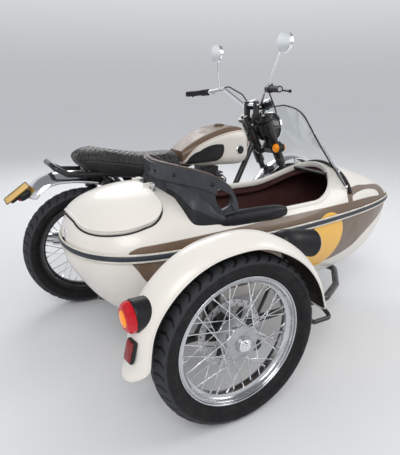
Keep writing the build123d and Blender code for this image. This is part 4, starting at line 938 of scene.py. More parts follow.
def waist_path(out, z):
    """The waist's closed plan curve, moved outwards by its normal times out, at a height, in mm."""
    count = 420
    t = turns(count)
    span, mid = (BODY_NOSE_X - BODY_TAIL_X) / 2, (BODY_NOSE_X + BODY_TAIL_X) / 2
    x = mid - span * np.cos(t)
    y = np.sign(np.sin(t)) * waist_half_w(x)
    fine = np.stack([x, y], -1)
    tangent = unit(np.roll(fine, -1, 0) - np.roll(fine, 1, 0))
    normal = np.stack([tangent[:, 1], -tangent[:, 0]], -1)
    if (normal * (fine - np.array([mid, 0]))).sum() < 0:
        normal = -normal
    plan = evenly(fine + out * normal, count)
    return np.column_stack([plan[:, 0], plan[:, 1] + BODY_Y, np.full(count, float(z))])


DECK_STATIONS = np.array([(-233, 30), (-224, 72), (-200, 108), (-150, 142), (-70, 170), (60, 190),
                          (230, 178), (500, 152), (780, 162), (960, 196), (1110, 213), (1260, 174),
                          (1400, 126), (1500, 84), (1565, 52), (1595, 26)], float)


def crown_height(x):
    """Height of the deck over the waist on its centre line, a smooth curve through the stations."""
    dense = smooth_path(DECK_STATIONS, 600)
    return np.interp(x, dense[:, 0], dense[:, 1])


def deck_height(x, y):
    """Height of the deck in mm: waist + crown(x) (1 - (y / w(x))^2)^0.5."""
    share = np.clip((y - BODY_Y) / np.maximum(waist_half_w(x), 1), -1, 1)
    return WAIST_Z + crown_height(x) * np.sqrt(1 - share ** 2)


def nose_cap():
    """Rounded end of the body's nose: x grows by b (1 - r^2)^0.5 over half ellipses of two heights."""
    x0, b, crown, keel = 1594.0, 10.5, 26.0, 110.0
    half_w = float(waist_half_w(np.array(x0 + 1)))
    r = np.append(np.sin(np.linspace(0.03, 1, 22) * pi / 2), 0.97)[:, None]
    deep = np.append(b * np.sqrt(np.clip(1 - r[:-1, 0] ** 2, 0, 1)), -4.0)[:, None]
    t = turns(96)
    tall = np.where(np.sin(t) > 0, crown, keel)
    return shell(place(np.stack([x0 + deep + 0 * t, BODY_Y + half_w * r * np.cos(t),
                                 WAIST_Z + tall * r * np.sin(t)], -1)))


def arc(start, through, end):
    """Points of the circle through three points of a plane, without the last one."""
    a, b, c = (complex(*p) for p in (start, through, end))
    w = (c - a) / (b - a)
    centre = a + (b - a) * (w - abs(w) ** 2) / (2j * w.imag)
    turned, part = (np.angle((p - centre) / (a - centre)) for p in (c, b))
    if turned * part < 0 or abs(part) > abs(turned):
        turned -= np.sign(turned) * TURN
    swing = np.exp(1j * np.linspace(0, turned, 24, endpoint=False))
    found = centre + (a - centre) * swing
    return np.stack([found.real, found.imag], -1)


def lid_path(grow):
    """Plan of the boot lid in mm: a straight front, then arcs round to its tail."""
    half_w, nose, tail = LID_SIZES[0] + grow, LID_SIZES[1] + grow, LID_SIZES[2] - grow
    shoulder, heel = -0.71988 * half_w, -0.22 * half_w
    side = [arc((nose, 90 - half_w), (nose - 20, 26 - half_w), (10, -half_w)),
            arc((10, -half_w), (tail + 47, shoulder), (tail, heel)),
            arc((tail, heel), (tail - 4, 0), (tail, -heel))]
    near = np.vstack(side[:2])
    return evenly(np.vstack([near, side[2], (near * (1, -1))[::-1]]), 260) + (0, BODY_Y)


GUARD_LINE = np.array([(2, 384), (20, 384), (60, 385), (83, 396), (100, 402), (115, 412), (130, 418),
                       (147, 420), (156, 417), (165, 408), (173, 403), (178, 407), (182.5, 420)], float)
GUARD_ENDS, GUARD_HALF_W, GUARD_BEND_R, GUARD_WALL = (4.5, 181.5), 76.5, 97, 3
REAR_GUARD_LINE = [(262, 600), (205, 660), (120, 712), (11, 738), (-71, 746), (-141, 743), (-202, 725),
                   (-250, 692), (-290, 645)]
REAR_GUARD_HALF_W, REAR_GUARD_BEND_R, REAR_GUARD_WALL = 76, 84, 2.5
BRACKET_TURNS, BRACKET_FOOT_R, BRACKET_Y = (42, 150), 330, 72
PLATE_AT, PLATE_TILT, PLATE_SIZE = (-318, 0, 655), radians(35), (0.128, 0.138)


def guard_radius(angle):
    """Crown radius of the side mudguard at an angle in degrees, a smooth curve through the stations."""
    dense = smooth_path(GUARD_LINE, 300)
    return np.interp(angle, dense[:, 0], dense[:, 1])


def round_end(left, power):
    """Share of the full width near a rounded end: (1 - (1 - left)^p)^0.5, left from 0 at the tip to 1."""
    return np.sqrt(1 - (1 - np.clip(left, 0.0008, 1)) ** power)


def arched_sheet(crown, out, half_w, bend_r, wall):
    """Thin arched sheet: across it y = s w and it falls by R - (R^2 - y^2)^0.5 from the crown line.

    Gives the grid, a mask of its inner faces, and the closed line round its edge with its up directions.
    """
    count = 26
    y = np.linspace(-1, 1, count) * half_w[:, None]
    fall = bend_r - np.sqrt(bend_r ** 2 - y ** 2)
    outer = crown[:, None] + y[..., None] * AXLE - fall[..., None] * out[:, None]
    inner = outer - wall * out[:, None]
    j = np.arange(2 * count)
    inside = np.tile((j >= count) & (j < 2 * count - 1), len(crown) - 1)
    inside = np.append(inside, np.zeros(2 * (count - 1), bool))
    edge = (outer + inner) / 2
    loop = np.vstack([edge[:, 0], edge[::-1, -1]])
    up = np.vstack([out, out[::-1]])
    return np.concatenate([outer, inner[:, ::-1]], axis=1), inside, loop, up


def at_guard(angle, radius, y):
    """Point at an angle in degrees and a radius round the side wheel, in mm from HOME."""
    a = np.radians(angle)
    hub = (SIDE_HUB - HOME) / MM
    x, z = hub[0] + radius * np.cos(a), hub[2] + radius * np.sin(a)
    return np.stack(np.broadcast_arrays(x, hub[1] + y, z), -1)


def lifted(points):
    """Points in mm moved out from the side wheel until they lie in the mudguard's wall."""
    away = points - (SIDE_HUB - HOME) / MM
    angle = np.degrees(np.arctan2(away[..., 2], away[..., 0]))
    radius = np.hypot(away[..., 0], away[..., 2])
    y = np.clip(away[..., 1], -GUARD_HALF_W, GUARD_HALF_W)
    wall = guard_radius(angle) - GUARD_BEND_R + np.sqrt(GUARD_BEND_R ** 2 - y ** 2) - GUARD_WALL / 2
    return at_guard(angle, np.maximum(radius, wall), away[..., 1])


def strap(start, end, width, thick):
    """Flat bar with rounded edges between two points in mm, square to the axle."""
    path = place(np.linspace(start, end, 5))
    return swept(path, superellipse(24, 5) * np.array([width, thick]) / 2 * MM, up=AXLE)


class OUTFIT_OT_mudguards(bpy.types.Operator):
    """Makes the side wheel's arched mudguard, its brackets, and the chrome one behind the saddle."""
    bl_idname = "outfit.mudguards"
    bl_label = "Mudguards"

    def execute(self, context):
        u = -np.cos(np.linspace(0, pi, 170))
        low, high = GUARD_ENDS
        angle = (low + high) / 2 + (high - low) / 2 * u
        crown = at_guard(angle, guard_radius(angle), 0)
        out = unit(at_guard(angle, 1, 0) - at_guard(angle, 0, 0))
        half_w = GUARD_HALF_W * round_end((angle - low) / 13, 2.4) * round_end((high - angle) / 10, 2.4)
        grid, inside, loop, up = arched_sheet(crown, out, half_w, GUARD_BEND_R, GUARD_WALL)
        # Its inner faces are painted dark brown
        put("side_mudguard_sheet", shell(place(grid), caps="strip"), "cream",
            ["side_mudguard"], 50, second=("guard_inside_dark", inside))
        put("side_mudguard_bead", tube(place(loop), 0.0034, 10, closed=True, up=up), "cream")
        lips = []
        for at in BRACKET_TURNS:
            foot = at_guard(at, BRACKET_FOOT_R, BRACKET_Y)
            head = at_guard(at, guard_radius(at) - 34, BRACKET_Y)
            lips.append(strap(foot, head, 5, 24))
            for reach in (7, 24):
                if reach + BRACKET_FOOT_R < guard_radius(at) - 42:
                    bolt = place(at_guard(at, BRACKET_FOOT_R + reach, BRACKET_Y - 3))
                    lips.append(lathe([(0.0065, 0.0), (0.0065, -0.004), (0.004, -0.0055)], bolt, AXLE, 6))
        put("mudguard_brackets", joined(*lips), "black", crease=30)

        count = 120
        line = smooth_path(REAR_GUARD_LINE, count)
        crown = np.stack([line[:, 0], np.zeros(count), line[:, 1]], -1)
        along = unit(np.gradient(crown, axis=0))
        out = np.cross(along, -AXLE)
        out *= np.sign(out[count // 2, 2])
        half_w = REAR_GUARD_HALF_W * round_end((1 - np.linspace(0, 1, count)) / 0.055, 3.0)
        grid, _, loop, up = arched_sheet(crown, out, half_w, REAR_GUARD_BEND_R, REAR_GUARD_WALL)
        put("rear_mudguard_sheet", shell(place(grid), caps="strip"), "chrome", ["rear_mudguard"],
            50)
        put("rear_mudguard_bead", tube(place(loop), 0.0028, 10, closed=True, up=up), "chrome")

        tilt = unit((-sin(PLATE_TILT), 0, cos(PLATE_TILT)))
        at = place(PLATE_AT)
        plate = placed(slab(*PLATE_SIZE, 0.0022, 14), at, AXLE, tilt)
        put("plate_blank", plate, "plate", ["number_plate"], 30)
        rim = superellipse(120, 14) * (np.array(PLATE_SIZE) / 2 - 0.0015)
        turned_rim = at + rim[:, :1] * AXLE + rim[:, 1:] * np.cross(tilt, AXLE) + 0.0012 * tilt
        put("plate_frame", tube(turned_rim, 0.0021, 8, closed=True, up=tilt), "plastic")
        backing = placed(slab(0.104, 0.100, 0.016, 7), at - 0.0095 * tilt, AXLE, tilt)
        run = smooth_path([(-322, 0, 641), (-300, 0, 622), (-268, 0, 640), (-225, 0, 678)], 16)
        arm = tube(place(run), 0.011, 12, up=AXLE)
        put("plate_carrier", joined(backing, arm), "plastic", ["plate_bracket"], 40)
        body = placed(slab(0.112, 0.070, 0.036, 5), place((-284, 0, 648)), AXLE, (-0.50, 0, 1))
        put("tail_lamp_body", body, "plastic", ["tail_lamp"], 40)
        glass = placed(slab(0.090, 0.024, 0.010, 6), place((-316, 0, 634)), AXLE, (-1, 0, -0.40))
        put("tail_lamp_glass", glass, "red", crease=40)
        return {"FINISHED"}


# The cockpit's opening, in mm: half an ellipse behind OPENING_REAR_X and one before OPENING_FRONT_X
OPENING_REAR_X, OPENING_REAR_LENGTH, OPENING_REAR_HALF_W = 365, 190, 280
OPENING_FRONT_X, OPENING_FRONT_LENGTH, OPENING_FRONT_HALF_W = 835, 250, 248
COAMING_INSET, COAMING_DEPTH = 5, 9
# The screen: half a cone's plan, bowed forwards from its ends, that leans back by SCREEN_LEAN a mm of rise
SCREEN_HALF_W, SCREEN_END_X, SCREEN_BOW, SCREEN_RISE = 235, 1050, 190, 75
SCREEN_LEAN, SCREEN_REACH, SCREEN_THICK = 0.9325, 68, 3.5
SCREEN_TOP = [(0, 1082), (90, 1069), (170, 1040), (205, 1012), (240, 965)]
LID_SIZES = 262, 98, -202               # half width, front edge and tail of the boot lid
COLLAR_TOP = np.array([(130, 866), (175, 866), (225, 858), (275, 842), (312, 821), (345, 795),
                       (360, 775), (372, 750), (380, 724), (385, 700)], float)
COLLAR_FOOT = np.array([(20, 167, -709), (28.2, 180, -752), (34.5, 178, -794), (43, 180, -857),
                        (47.2, 187, -885), (50.9, 202, -897), (59.2, 244, -901), (69.7, 290, -901),
                        (80, 334, -904)], float)


def round_opening(turn, out):
    """Plan of the cockpit's rear end in mm, moved out, at a turn in degrees from straight behind."""
    a = np.radians(turn)
    return (OPENING_REAR_X - (OPENING_REAR_LENGTH + out) * np.cos(a),
            BODY_Y - (OPENING_REAR_HALF_W + out) * np.sin(a))


def collar_top(x):
    """Height of the collar's upper edge, straight between its stations."""
    return np.interp(x, COLLAR_TOP[:, 0], COLLAR_TOP[:, 1])


def collar_skirt():
    """Flared foot of the collar: for each turn a straight line of the wall is drawn out to the deck, with a
    crease on its way, below which it stands steeper and carries painted shade, a darker copy of its moulding.
    Its section is closed 5 mm inside."""
    count, cols, crease_at, thick = 70, 17, 0.42, 5
    turn = np.linspace(20, 80, count)
    dense = smooth_path(COLLAR_FOOT, 300)
    foot = np.stack([np.interp(turn, dense[:, 0], dense[:, k]) for k in (1, 2)], -1)
    foot = np.column_stack([foot, deck_height(foot[:, 0], foot[:, 1]) - thick])
    x, y = round_opening(turn, 18)
    high = np.interp(turn, [20, 40, 54, 62, 70, 80], [800, 797, 776, 740, 701, 676])
    head = np.stack([x, y, np.minimum(high, collar_top(x) - 50)], -1)
    s = np.linspace(0, 1, cols)[None, :, None]
    crease = foot + 0.26 * (head - foot) + np.array([0, 0, 0.20]) * (head - foot)
    low, up = np.clip(s / crease_at, 0, 1), np.clip((s - crease_at) / (1 - crease_at), 0, 1)
    away = np.stack([x - OPENING_REAR_X, y - BODY_Y, np.full(count, 60.0)], -1)
    bulge = np.sin(pi * up) * 4 * unit(away)[:, None]
    outer = foot[:, None] * (1 - low) + crease[:, None] * low
    outer = np.where(s > crease_at, crease[:, None] * (1 - up) + head[:, None] * up + bulge, outer)
    inner = outer - thick * unit(away + (0, 0, 10))[:, None]
    near = np.concatenate([outer, inner[:, ::-1]], axis=1)
    far = near * (1, -1, 1) + (0, 2 * BODY_Y, 0)
    # The faces below the crease are marked for painted shade
    below = np.arange(2 * cols) < crease_at * (cols - 1)
    dark = np.append(np.tile(below, count - 1), np.zeros(2 * (cols - 1), bool))
    return [shell(place(grid), caps="strip") for grid in (near, far)], dark


class OUTFIT_OT_body_trim(bpy.types.Operator):
    """Makes the rub rail with its pipings, the nose's end, and the boot lid's lip, seal and latch."""
    bl_idname = "outfit.body_trim"
    bl_label = "Body trim"

    def execute(self, context):
        b = np.linspace(-pi / 2, pi / 2, 11)
        band = np.stack([np.append(0.0110 * np.cos(b) ** 0.5 + 0.0005, [0.0004, 0.0004]),
                         np.append(0.0102 * np.sin(b), [0.0102, -0.0102])], -1)
        path = place(waist_path(0, WAIST_Z))
        put("rub_rail_band", swept(path, flip_side(band, path), closed=True, up=UP), "rail",
            ["rub_rail"], 50)
        beads = [tube(place(waist_path(5.5, WAIST_Z + z)), 0.0042, 10, closed=True, up=UP)
                 for z in (13.2, -13.2)]
        put("rub_rail_piping", joined(*beads), "piping")
        put("nose_cap", nose_cap(), "body", crease=60)
        plan = lid_path(-1.5)
        rim = np.column_stack([plan, deck_height(plan[:, 0], plan[:, 1]) + 15])
        put("boot_lid_lip", tube(place(rim), 0.0058, 12, closed=True, up=UP), "cream",
            body="boot_lid")
        plan = lid_path(1.5)
        seal = np.column_stack([plan, deck_height(plan[:, 0], plan[:, 1]) + 1.5])
        put("boot_lid_seal", tube(place(seal), 0.0036, 8, closed=True, up=UP), "rubber")
        latch_at = np.array([-228.0, BODY_Y - 22, 0])
        latch_at[2] = deck_height(latch_at[0], latch_at[1]) - 4
        latch = [placed(slab(0.030, 0.020, 0.010, 4), place(latch_at), AXLE, (-0.9, 0, 0.5)),
                 lathe([(0.0085, -0.004), (0.0085, 0.004), (0.006, 0.006)], place(latch_at - (3, 0, 16)),
                       (-0.95, 0, 0.3), 32)]
        put("boot_latch", joined(*latch), "chrome", crease=35)
        return {"FINISHED"}


class OUTFIT_OT_collar(bpy.types.Operator):
    """Makes the collar's flared feet, the padded roll on its edge and its studs."""
    bl_idname = "outfit.collar"
    bl_label = "Collar"

    def execute(self, context):
        skirts, dark = collar_skirt()
        # The lower faces of each skirt get the collar's moulding darkened as painted shade
        for name, made in zip(("collar_skirt_right", "collar_skirt_left"), skirts):
            put(name, made, "collar", crease=28, second=("collar_painted_shade", dark))
        turn = np.linspace(-87, 87, 110)
        x, y = round_opening(turn, 9)
        roll = place(np.stack([x, y, collar_top(x) + 1.5], -1))
        put("collar_roll", swept(roll, superellipse(20, 2.4) * np.array([0.0105, 0.0075]), up=UP), "roll",
            crease=60)
        studs = []
        for turn in (-66, -30, -6, 6, 30, 66):
            x, y = round_opening(turn, 27)
            out = unit((x - OPENING_REAR_X, (y - BODY_Y) * 0.46, 6))
            studs.append(lathe([(0.0078, -0.003), (0.0078, 0.001), (0.0060, 0.0036), (0.0020, 0.0048)],
                               place((x, y, collar_top(x) - 32)), out, 24))
        put("collar_studs", joined(*studs), "plastic", crease=50)
        return {"FINISHED"}


class OUTFIT_OT_screen(bpy.types.Operator):
    """Makes the bent windscreen with its edging, gasket and bolts.

    The sheet's foot is where its cone meets the deck, found in steps that go half the way each. Its top
    falls to the foot at the ends by (1 - |turn / reach|^7)^(1/4), which rounds its corners.
    """
    bl_idname = "outfit.screen"
    bl_label = "Windscreen"

    def execute(self, context):
        count = 121
        turn = SCREEN_REACH * np.sin(np.linspace(-pi / 2, pi / 2, count))
        a = np.radians(turn)
        y, base = SCREEN_HALF_W * np.sin(a), SCREEN_END_X + SCREEN_BOW * np.cos(a)

        def leaned(z):
            return base - SCREEN_LEAN * (z - WAIST_Z - SCREEN_RISE)

        def on_screen(z, out):
            return np.stack([leaned(z) + out * np.cos(a), BODY_Y + y + out * np.sin(a), z], -1)

        top_line = smooth_path(SCREEN_TOP, 100)
        top = np.interp(np.abs(y), top_line[:, 0], top_line[:, 1])
        low = np.full(count, 700.0)
        for _ in range(30):
            low = 0.5 * low + 0.5 * deck_height(leaned(low), BODY_Y + y)
        top = low + (top - low) * np.maximum(1 - np.abs(turn / SCREEN_REACH) ** 7, 0.0004) ** (1 / 4)
        faces = [np.stack([on_screen(low - 6 + (top - low + 6) * t, out) for t in np.linspace(0, 1, 40)], 1)
                 for out in (0, -SCREEN_THICK)]
        put("screen_sheet", shell(place(np.concatenate([faces[0], faces[1][:, ::-1]], 1)), caps="strip"),
            "acrylic", ["windscreen"], 50)
        put("screen_edge", tube(place(on_screen(top, -1.7)[::2]), 0.0034, 8), "edge",
            crease=60)
        gasket = swept(place(on_screen(low + 3, 2)), superellipse(16, 3) * np.array([0.0085, 0.0105]), up=UP)
        put("screen_gasket", gasket, "rubber", ["screen_foot"], 60)
        bolts = []
        for k in (12, 36, 84, 108):
            seat = on_screen(low + 30, 1)[k]
            out = (cos(a[k]) * 0.73, sin(a[k]), 0.68 * cos(a[k]))
            bolts.append(lathe([(0.008, -0.002), (0.008, 0.002), (0.006, 0.0045), (0.002, 0.0055)],
                               place(seat), out, 20))
        put("screen_bolts", joined(*bolts), "chrome", crease=45)
        return {"FINISHED"}


class OUTFIT_OT_coaming(bpy.types.Operator):
    """Makes the rounded rim of the cockpit's opening."""
    bl_idname = "outfit.coaming"
    bl_label = "Coaming"

    def execute(self, context):
        a = np.radians(np.linspace(-90, 90, 60))
        rear = np.stack([OPENING_REAR_X - OPENING_REAR_LENGTH * np.cos(a),
                         OPENING_REAR_HALF_W * np.sin(a)], -1)[45:]
        nose = np.stack([OPENING_FRONT_X + OPENING_FRONT_LENGTH * np.cos(a),
                         OPENING_FRONT_HALF_W * np.sin(a)], -1)
        straight = np.linspace(rear[-1], nose[-1], 30)[1:-1]
        plan = np.vstack([rear * (1, -1), straight * (1, -1), nose, straight[::-1], rear[::-1]])
        centre = np.array([600, 0])
        plan = smooth_path(plan, 260) - centre
        plan = plan * (1 - COAMING_INSET / np.linalg.norm(plan, axis=1, keepdims=True)) + centre + (0, BODY_Y)
        rim = np.column_stack([plan, deck_height(plan[:, 0], plan[:, 1]) - COAMING_DEPTH])
        put("cockpit_coaming", swept(place(rim), superellipse(20, 2.6) * np.array([0.0105, 0.0150]), up=UP),
            "cream", crease=60)
        return {"FINISHED"}


def flip_side(profile, path):
    """The profile with its side axis turned, if the path's side direction looks inwards."""
    side, _ = frames(path, True, UP)
    outward = path - path.mean(0)
    return profile * np.array([1 if (side * outward).sum() > 0 else -1, 1])


REAR_LAMP_AT, REAR_LAMP_LINE = np.array([-177.0, -1191, 520]), unit((87, 0, 6))
FRONT_LAMP_BACK, FRONT_LAMP_MOUTH = np.array([485.0, -1051, 594]), np.array([652.0, -1051, 561])
REFLECTOR_TURN, REFLECTOR_Y = 167, -24  # degrees round the side wheel, mm from its plane
STEER_REST = radians(6)                 # the places on the fork are given with the bars straight


class OUTFIT_OT_side_lamps(bpy.types.Operator):
    """Makes the side mudguard's lamps and reflector: the rear lens has twelve flats and an amber middle."""
    bl_idname = "outfit.side_lamps"
    bl_label = "Side lamps"

    def execute(self, context):
        line, mouth = REAR_LAMP_LINE, REAR_LAMP_AT
        run = np.concatenate([np.linspace(0, 86, 27), np.linspace(90, 108, 5)])
        radius = np.concatenate([[50.0, 52.0, 52.0], np.linspace(51.5, 47.5, 24),
                                 [44.5, 40.0, 33.0, 22.0, 6.0]])
        grid = mouth + run[:, None, None] * line + radius[:, None, None] * spokewise(line, turns(72))
        put("rear_lamp_housing", shell(place(lifted(grid))), "housing", ["rear_lamp"], 45)
        mouth = place(mouth)

        def facets(profile, a):
            """Flats on the wall: r / cos(a mod 30 - 15 degrees)."""
            outer = (profile[:, 0] > 0.032)[:, None]
            twelve = 0.966 / np.cos((a % (TURN / 12)) - TURN / 24)
            return np.where(outer, twelve[None], 1.0)
        wall = [(0.046, 0.002), (0.0495, -0.001), (0.0495, -0.0140), (0.0405, -0.0260), (0.0330, -0.0290),
                (0.0285, -0.0275), (0.0280, -0.012), (0.0280, 0.002)]
        put("rear_lens_red", lathe(wall, mouth, line, 96, wave=facets, closed=True), "red",
            ["rear_lens"], 20)
        wide, deep = 0.0276, 0.0260
        dome = [(wide, 0.0), (wide, -deep)]
        dome += [(wide * cos(v), -deep - 0.0090 * sin(v)) for v in np.linspace(0, pi / 2, 8)[1:-1]]
        put("rear_lens_amber", lathe(dome, mouth, line, 60), "amber")

        out = unit(at_guard(REFLECTOR_TURN, 1, 0) - at_guard(REFLECTOR_TURN, 0, 0))
        out = unit(out + (0, -0.16, 0))
        at = place(at_guard(REFLECTOR_TURN, guard_radius(REFLECTOR_TURN) + 3, REFLECTOR_Y))
        put("reflector_frame", placed(slab(0.046, 0.074, 0.014, 7), at, AXLE, out), "housing",
            ["reflector"], 35)
        put("reflector_glass", placed(slab(0.037, 0.064, 0.008, 7), at + out * 0.0062, AXLE, out), "reflex",
            crease=35)

        start, end = FRONT_LAMP_BACK, FRONT_LAMP_MOUTH
        line = unit(end - start)
        far = np.linalg.norm(end - start) * MM
        front = [(0.012, -0.012), (0.030, -0.008), (0.043, 0.002), (0.050, 0.020), (0.053, 0.050),
                 (0.055, far - 0.006), (0.0565, far - 0.004), (0.0565, far), (0.0535, far + 0.0015)]
        run = smooth_path([(560, -1066, 574), (545, -1085, 556), (500, -1104, 520)], 12)
        foot = tube(place(run), 0.009, 12)
        put("front_lamp_housing", joined(lathe(front, place(start), line, 84), foot), "housing",
            ["front_lamp"], 40)
        glass = [(0.0530, -0.001), (0.0530, 0.004), (0.050, 0.010), (0.038, 0.015), (0.018, 0.018)]
        put("front_lamp_glass", lathe(glass, place(end), line, 84), "clear", ["front_lens"], 35)
        return {"FINISHED"}


class OUTFIT_OT_fork_trim(bpy.types.Operator):
    """Makes the tank's round places and what shines on the bars: rims, dials, indicators, mirror glass."""
    bl_idname = "outfit.fork_trim"
    bl_label = "Tank and fork trim"

    def execute(self, context):
        pivot, axis = joint_place("steering")
        rest = Matrix.Rotation(STEER_REST, 4, Vector(axis))
        rest = np.array(Matrix.Translation(Vector(pivot)) @ rest @ Matrix.Translation(-Vector(pivot)))
        lamp_rim = [(0.0905, -0.007), (0.0935, -0.004), (0.0940, 0.004), (0.0905, 0.0105), (0.0840, 0.0115),
                    (0.0840, 0.006), (0.0885, 0.002), (0.0885, -0.007)]
        gauge_rim = [(0.0350, -0.004), (0.0385, -0.002), (0.0385, 0.004), (0.0345, 0.0065), (0.0325, 0.0045),
                     (0.0325, -0.001)]
        rims = [lathe(lamp_rim, place((1274, 0, 915)), (1, 0, 0), 96, closed=True)]
        dials = []
        up = unit((-0.42, 0, 0.91))
        for side in (1, -1):
            face = place((1172, side * 64, 1040)) + up * 0.042
            rims.append(lathe(gauge_rim, face, up, 64, closed=True))
            dials.append(lathe([(0.0330, 0.0004), (0.0330, 0.0022), (0.0310, 0.0026)], face, up, 48))
            rims.append(placed(slab(0.0026, 0.024, 0.0016, 4),
                               face + up * 0.0036 + unit((0.3, side, 0)) * 0.006, (1, 0.4 * side, 0), up))
        for name, side in (("right", 1), ("left", -1)):
            at, out = struck("fuel_tank", place((925, -400 * side, 806)), (0, side, 0))
            rim = [(0.0240, 0.0014), (0.0285, 0.0014), (0.0300, 0.0), (0.0300, -0.006), (0.0240, -0.006)]
            put(f"tank_roundel_{name}", lathe(rim, at, out, 64, closed=True), "chrome")
            face = [(0.0236, -0.005), (0.0236, 0.0006), (0.0180, 0.0016)]
            put(f"tank_roundel_{name}_face", lathe(face, at, out, 48), "housing")
        bulb = [(0.0262, -0.001), (0.0262, 0.004), (0.0225, 0.0115), (0.0150, 0.0165), (0.0060, 0.0185)]
        winkers = [lathe(bulb, place((x, side * 172, 798)), (towards, 0, 0), 40)
                   for side in (1, -1) for x, towards in ((1196, 1), (1150, -1))]
        back = unit((-1, 0, 0.08))
        glass = [lathe([(0.0515, 0.0002), (0.0515, 0.0012), (0.0505, 0.0016)],
                       place((1060, side * 306, 1380)) + back * 0.009, back, 64) for side in (1, -1)]
        for name, made, finish, slot, crease in (
                ("indicator_lenses", winkers, "amber", "amber_lens", 40),
                ("fork_rims", rims, "chrome", "chrome", 35),
                ("gauge_dials", dials, "dial", "grey_plastic", 35),
                ("mirror_glass", glass, "mirror", "chrome", 35)):
            put(name, repeated(joined(*made), [rest]), finish, crease=crease, body="fork")
        return {"FINISHED"}


# Padding

PAD_RINGS, PAD_AROUND = 46, 64
CHANNEL_STEP = 70                       # from one sewn channel of the cockpit's pads to the next, in mm


def pad_block(rows, y0, shrink, power=3.4, ends=5.0):
    """Closed pad through stations (x, half width, bottom, top) in mm, made smaller by shrink on all sides.

    Its section is a superellipse. Both ends draw in by e = (1 - |u|^ends)^(1/ends), u from -1 to 1.
    """
    rows = np.asarray(rows, float)
    u = -np.cos(np.linspace(0.02, pi - 0.02, PAD_RINGS))
    x = rows[0, 0] + shrink + (rows[-1, 0] - rows[0, 0] - 2 * shrink) * (u + 1) / 2
    dense = smooth_path(rows, 400)
    half_w, bottom, top = (np.interp(x, dense[:, 0], dense[:, k]) for k in (1, 2, 3))
    e = (1 - np.abs(u) ** ends) ** (1 / ends)
    outline = superellipse(PAD_AROUND, power)
    y = y0 + e[:, None] * (half_w[:, None] - shrink) * outline[None, :, 0]
    rise = e[:, None] * ((top - bottom) / 2 - shrink)[:, None] * outline[None, :, 1]
    z = ((bottom + top) / 2)[:, None] + rise
    return np.stack([np.broadcast_to(x[:, None], y.shape), y, z], -1)


def fixed(thing):
    """Writes an object's modifiers into its mesh."""
    seen = thing.evaluated_get(bpy.context.evaluated_depsgraph_get())
    mesh = bpy.data.meshes.new_from_object(seen)
    thing.modifiers.clear()
    thing.data = mesh
    return thing


def corners_of(mesh):
    co = np.empty(len(mesh.vertices) * 3, np.float32)
    mesh.vertices.foreach_get("co", co)
    return co.reshape(-1, 3).astype(float)


def stuffed(name, grid, finish, stands_for, keep, seams, cap, settings):
    """A cushion: the closed grid remeshed, blown up by the Cloth modifier, then seamed.

    keep(points) puts back points that would reach a neighbour, and seams(points) is how far each is drawn in.
    """
    thing = put(name, shell(place(grid)), finish, stands_for, 180)
    remesh = thing.modifiers.new("grain", "REMESH")
    remesh.mode = "VOXEL"
    remesh.voxel_size = settings.voxel
    fixed(thing)
    start = corners_of(thing.data)
    cloth = thing.modifiers.new("stuffing", "CLOTH")
    cloth.settings.use_pressure = True
    cloth.settings.uniform_pressure_force = settings.pressure
    cloth.settings.effector_weights.gravity = 0
    cloth.settings.tension_stiffness = cloth.settings.compression_stiffness = 12
    cloth.point_cache.frame_start, cloth.point_cache.frame_end = 1, 20
    for moment in range(1, 21):
        bpy.context.scene.frame_set(moment)
    fixed(thing)
    moved = corners_of(thing.data) - start
    far = np.linalg.norm(moved, axis=1, keepdims=True)
    start = start + moved * np.minimum(1, cap / np.maximum(far, 1e-9))
    bpy.context.scene.frame_set(1)
    thing.data.vertices.foreach_set("co", keep(start).astype(np.float32).ravel())
    thing.data.update()
    finer = thing.modifiers.new("finer", "SUBSURF")
    finer.levels = finer.render_levels = 1
    fixed(thing)
    mesh = thing.data
    normals = np.empty(len(mesh.vertices) * 3, np.float32)
    mesh.vertex_normals.foreach_get("vector", normals)
    points = corners_of(mesh)
    points = keep(points - normals.reshape(-1, 3) * seams(points)[:, None])
    mesh.vertices.foreach_set("co", points.astype(np.float32).ravel())
    mesh.shade_smooth()
    if not mesh.materials:
        mesh.materials.append(FINISHES[finish])
    return thing


def ditch(distance, width):
    """Depth of a sewn channel at a distance from its line: exp(-(d / width)^2)."""
    return np.exp(-(distance / width) ** 2)


def channels(y):
    """Depth of the sewn channels that run along the cockpit's pads, at y in mm."""
    half = CHANNEL_STEP / 2
    return ditch(half - np.abs((y - BODY_Y) % CHANNEL_STEP - half), 3.5)


def within(points, low, high):
    """Points in the frame, held inside a box given in mm."""
    low, high = place(low), place(high)
    return np.clip(points, low, high)


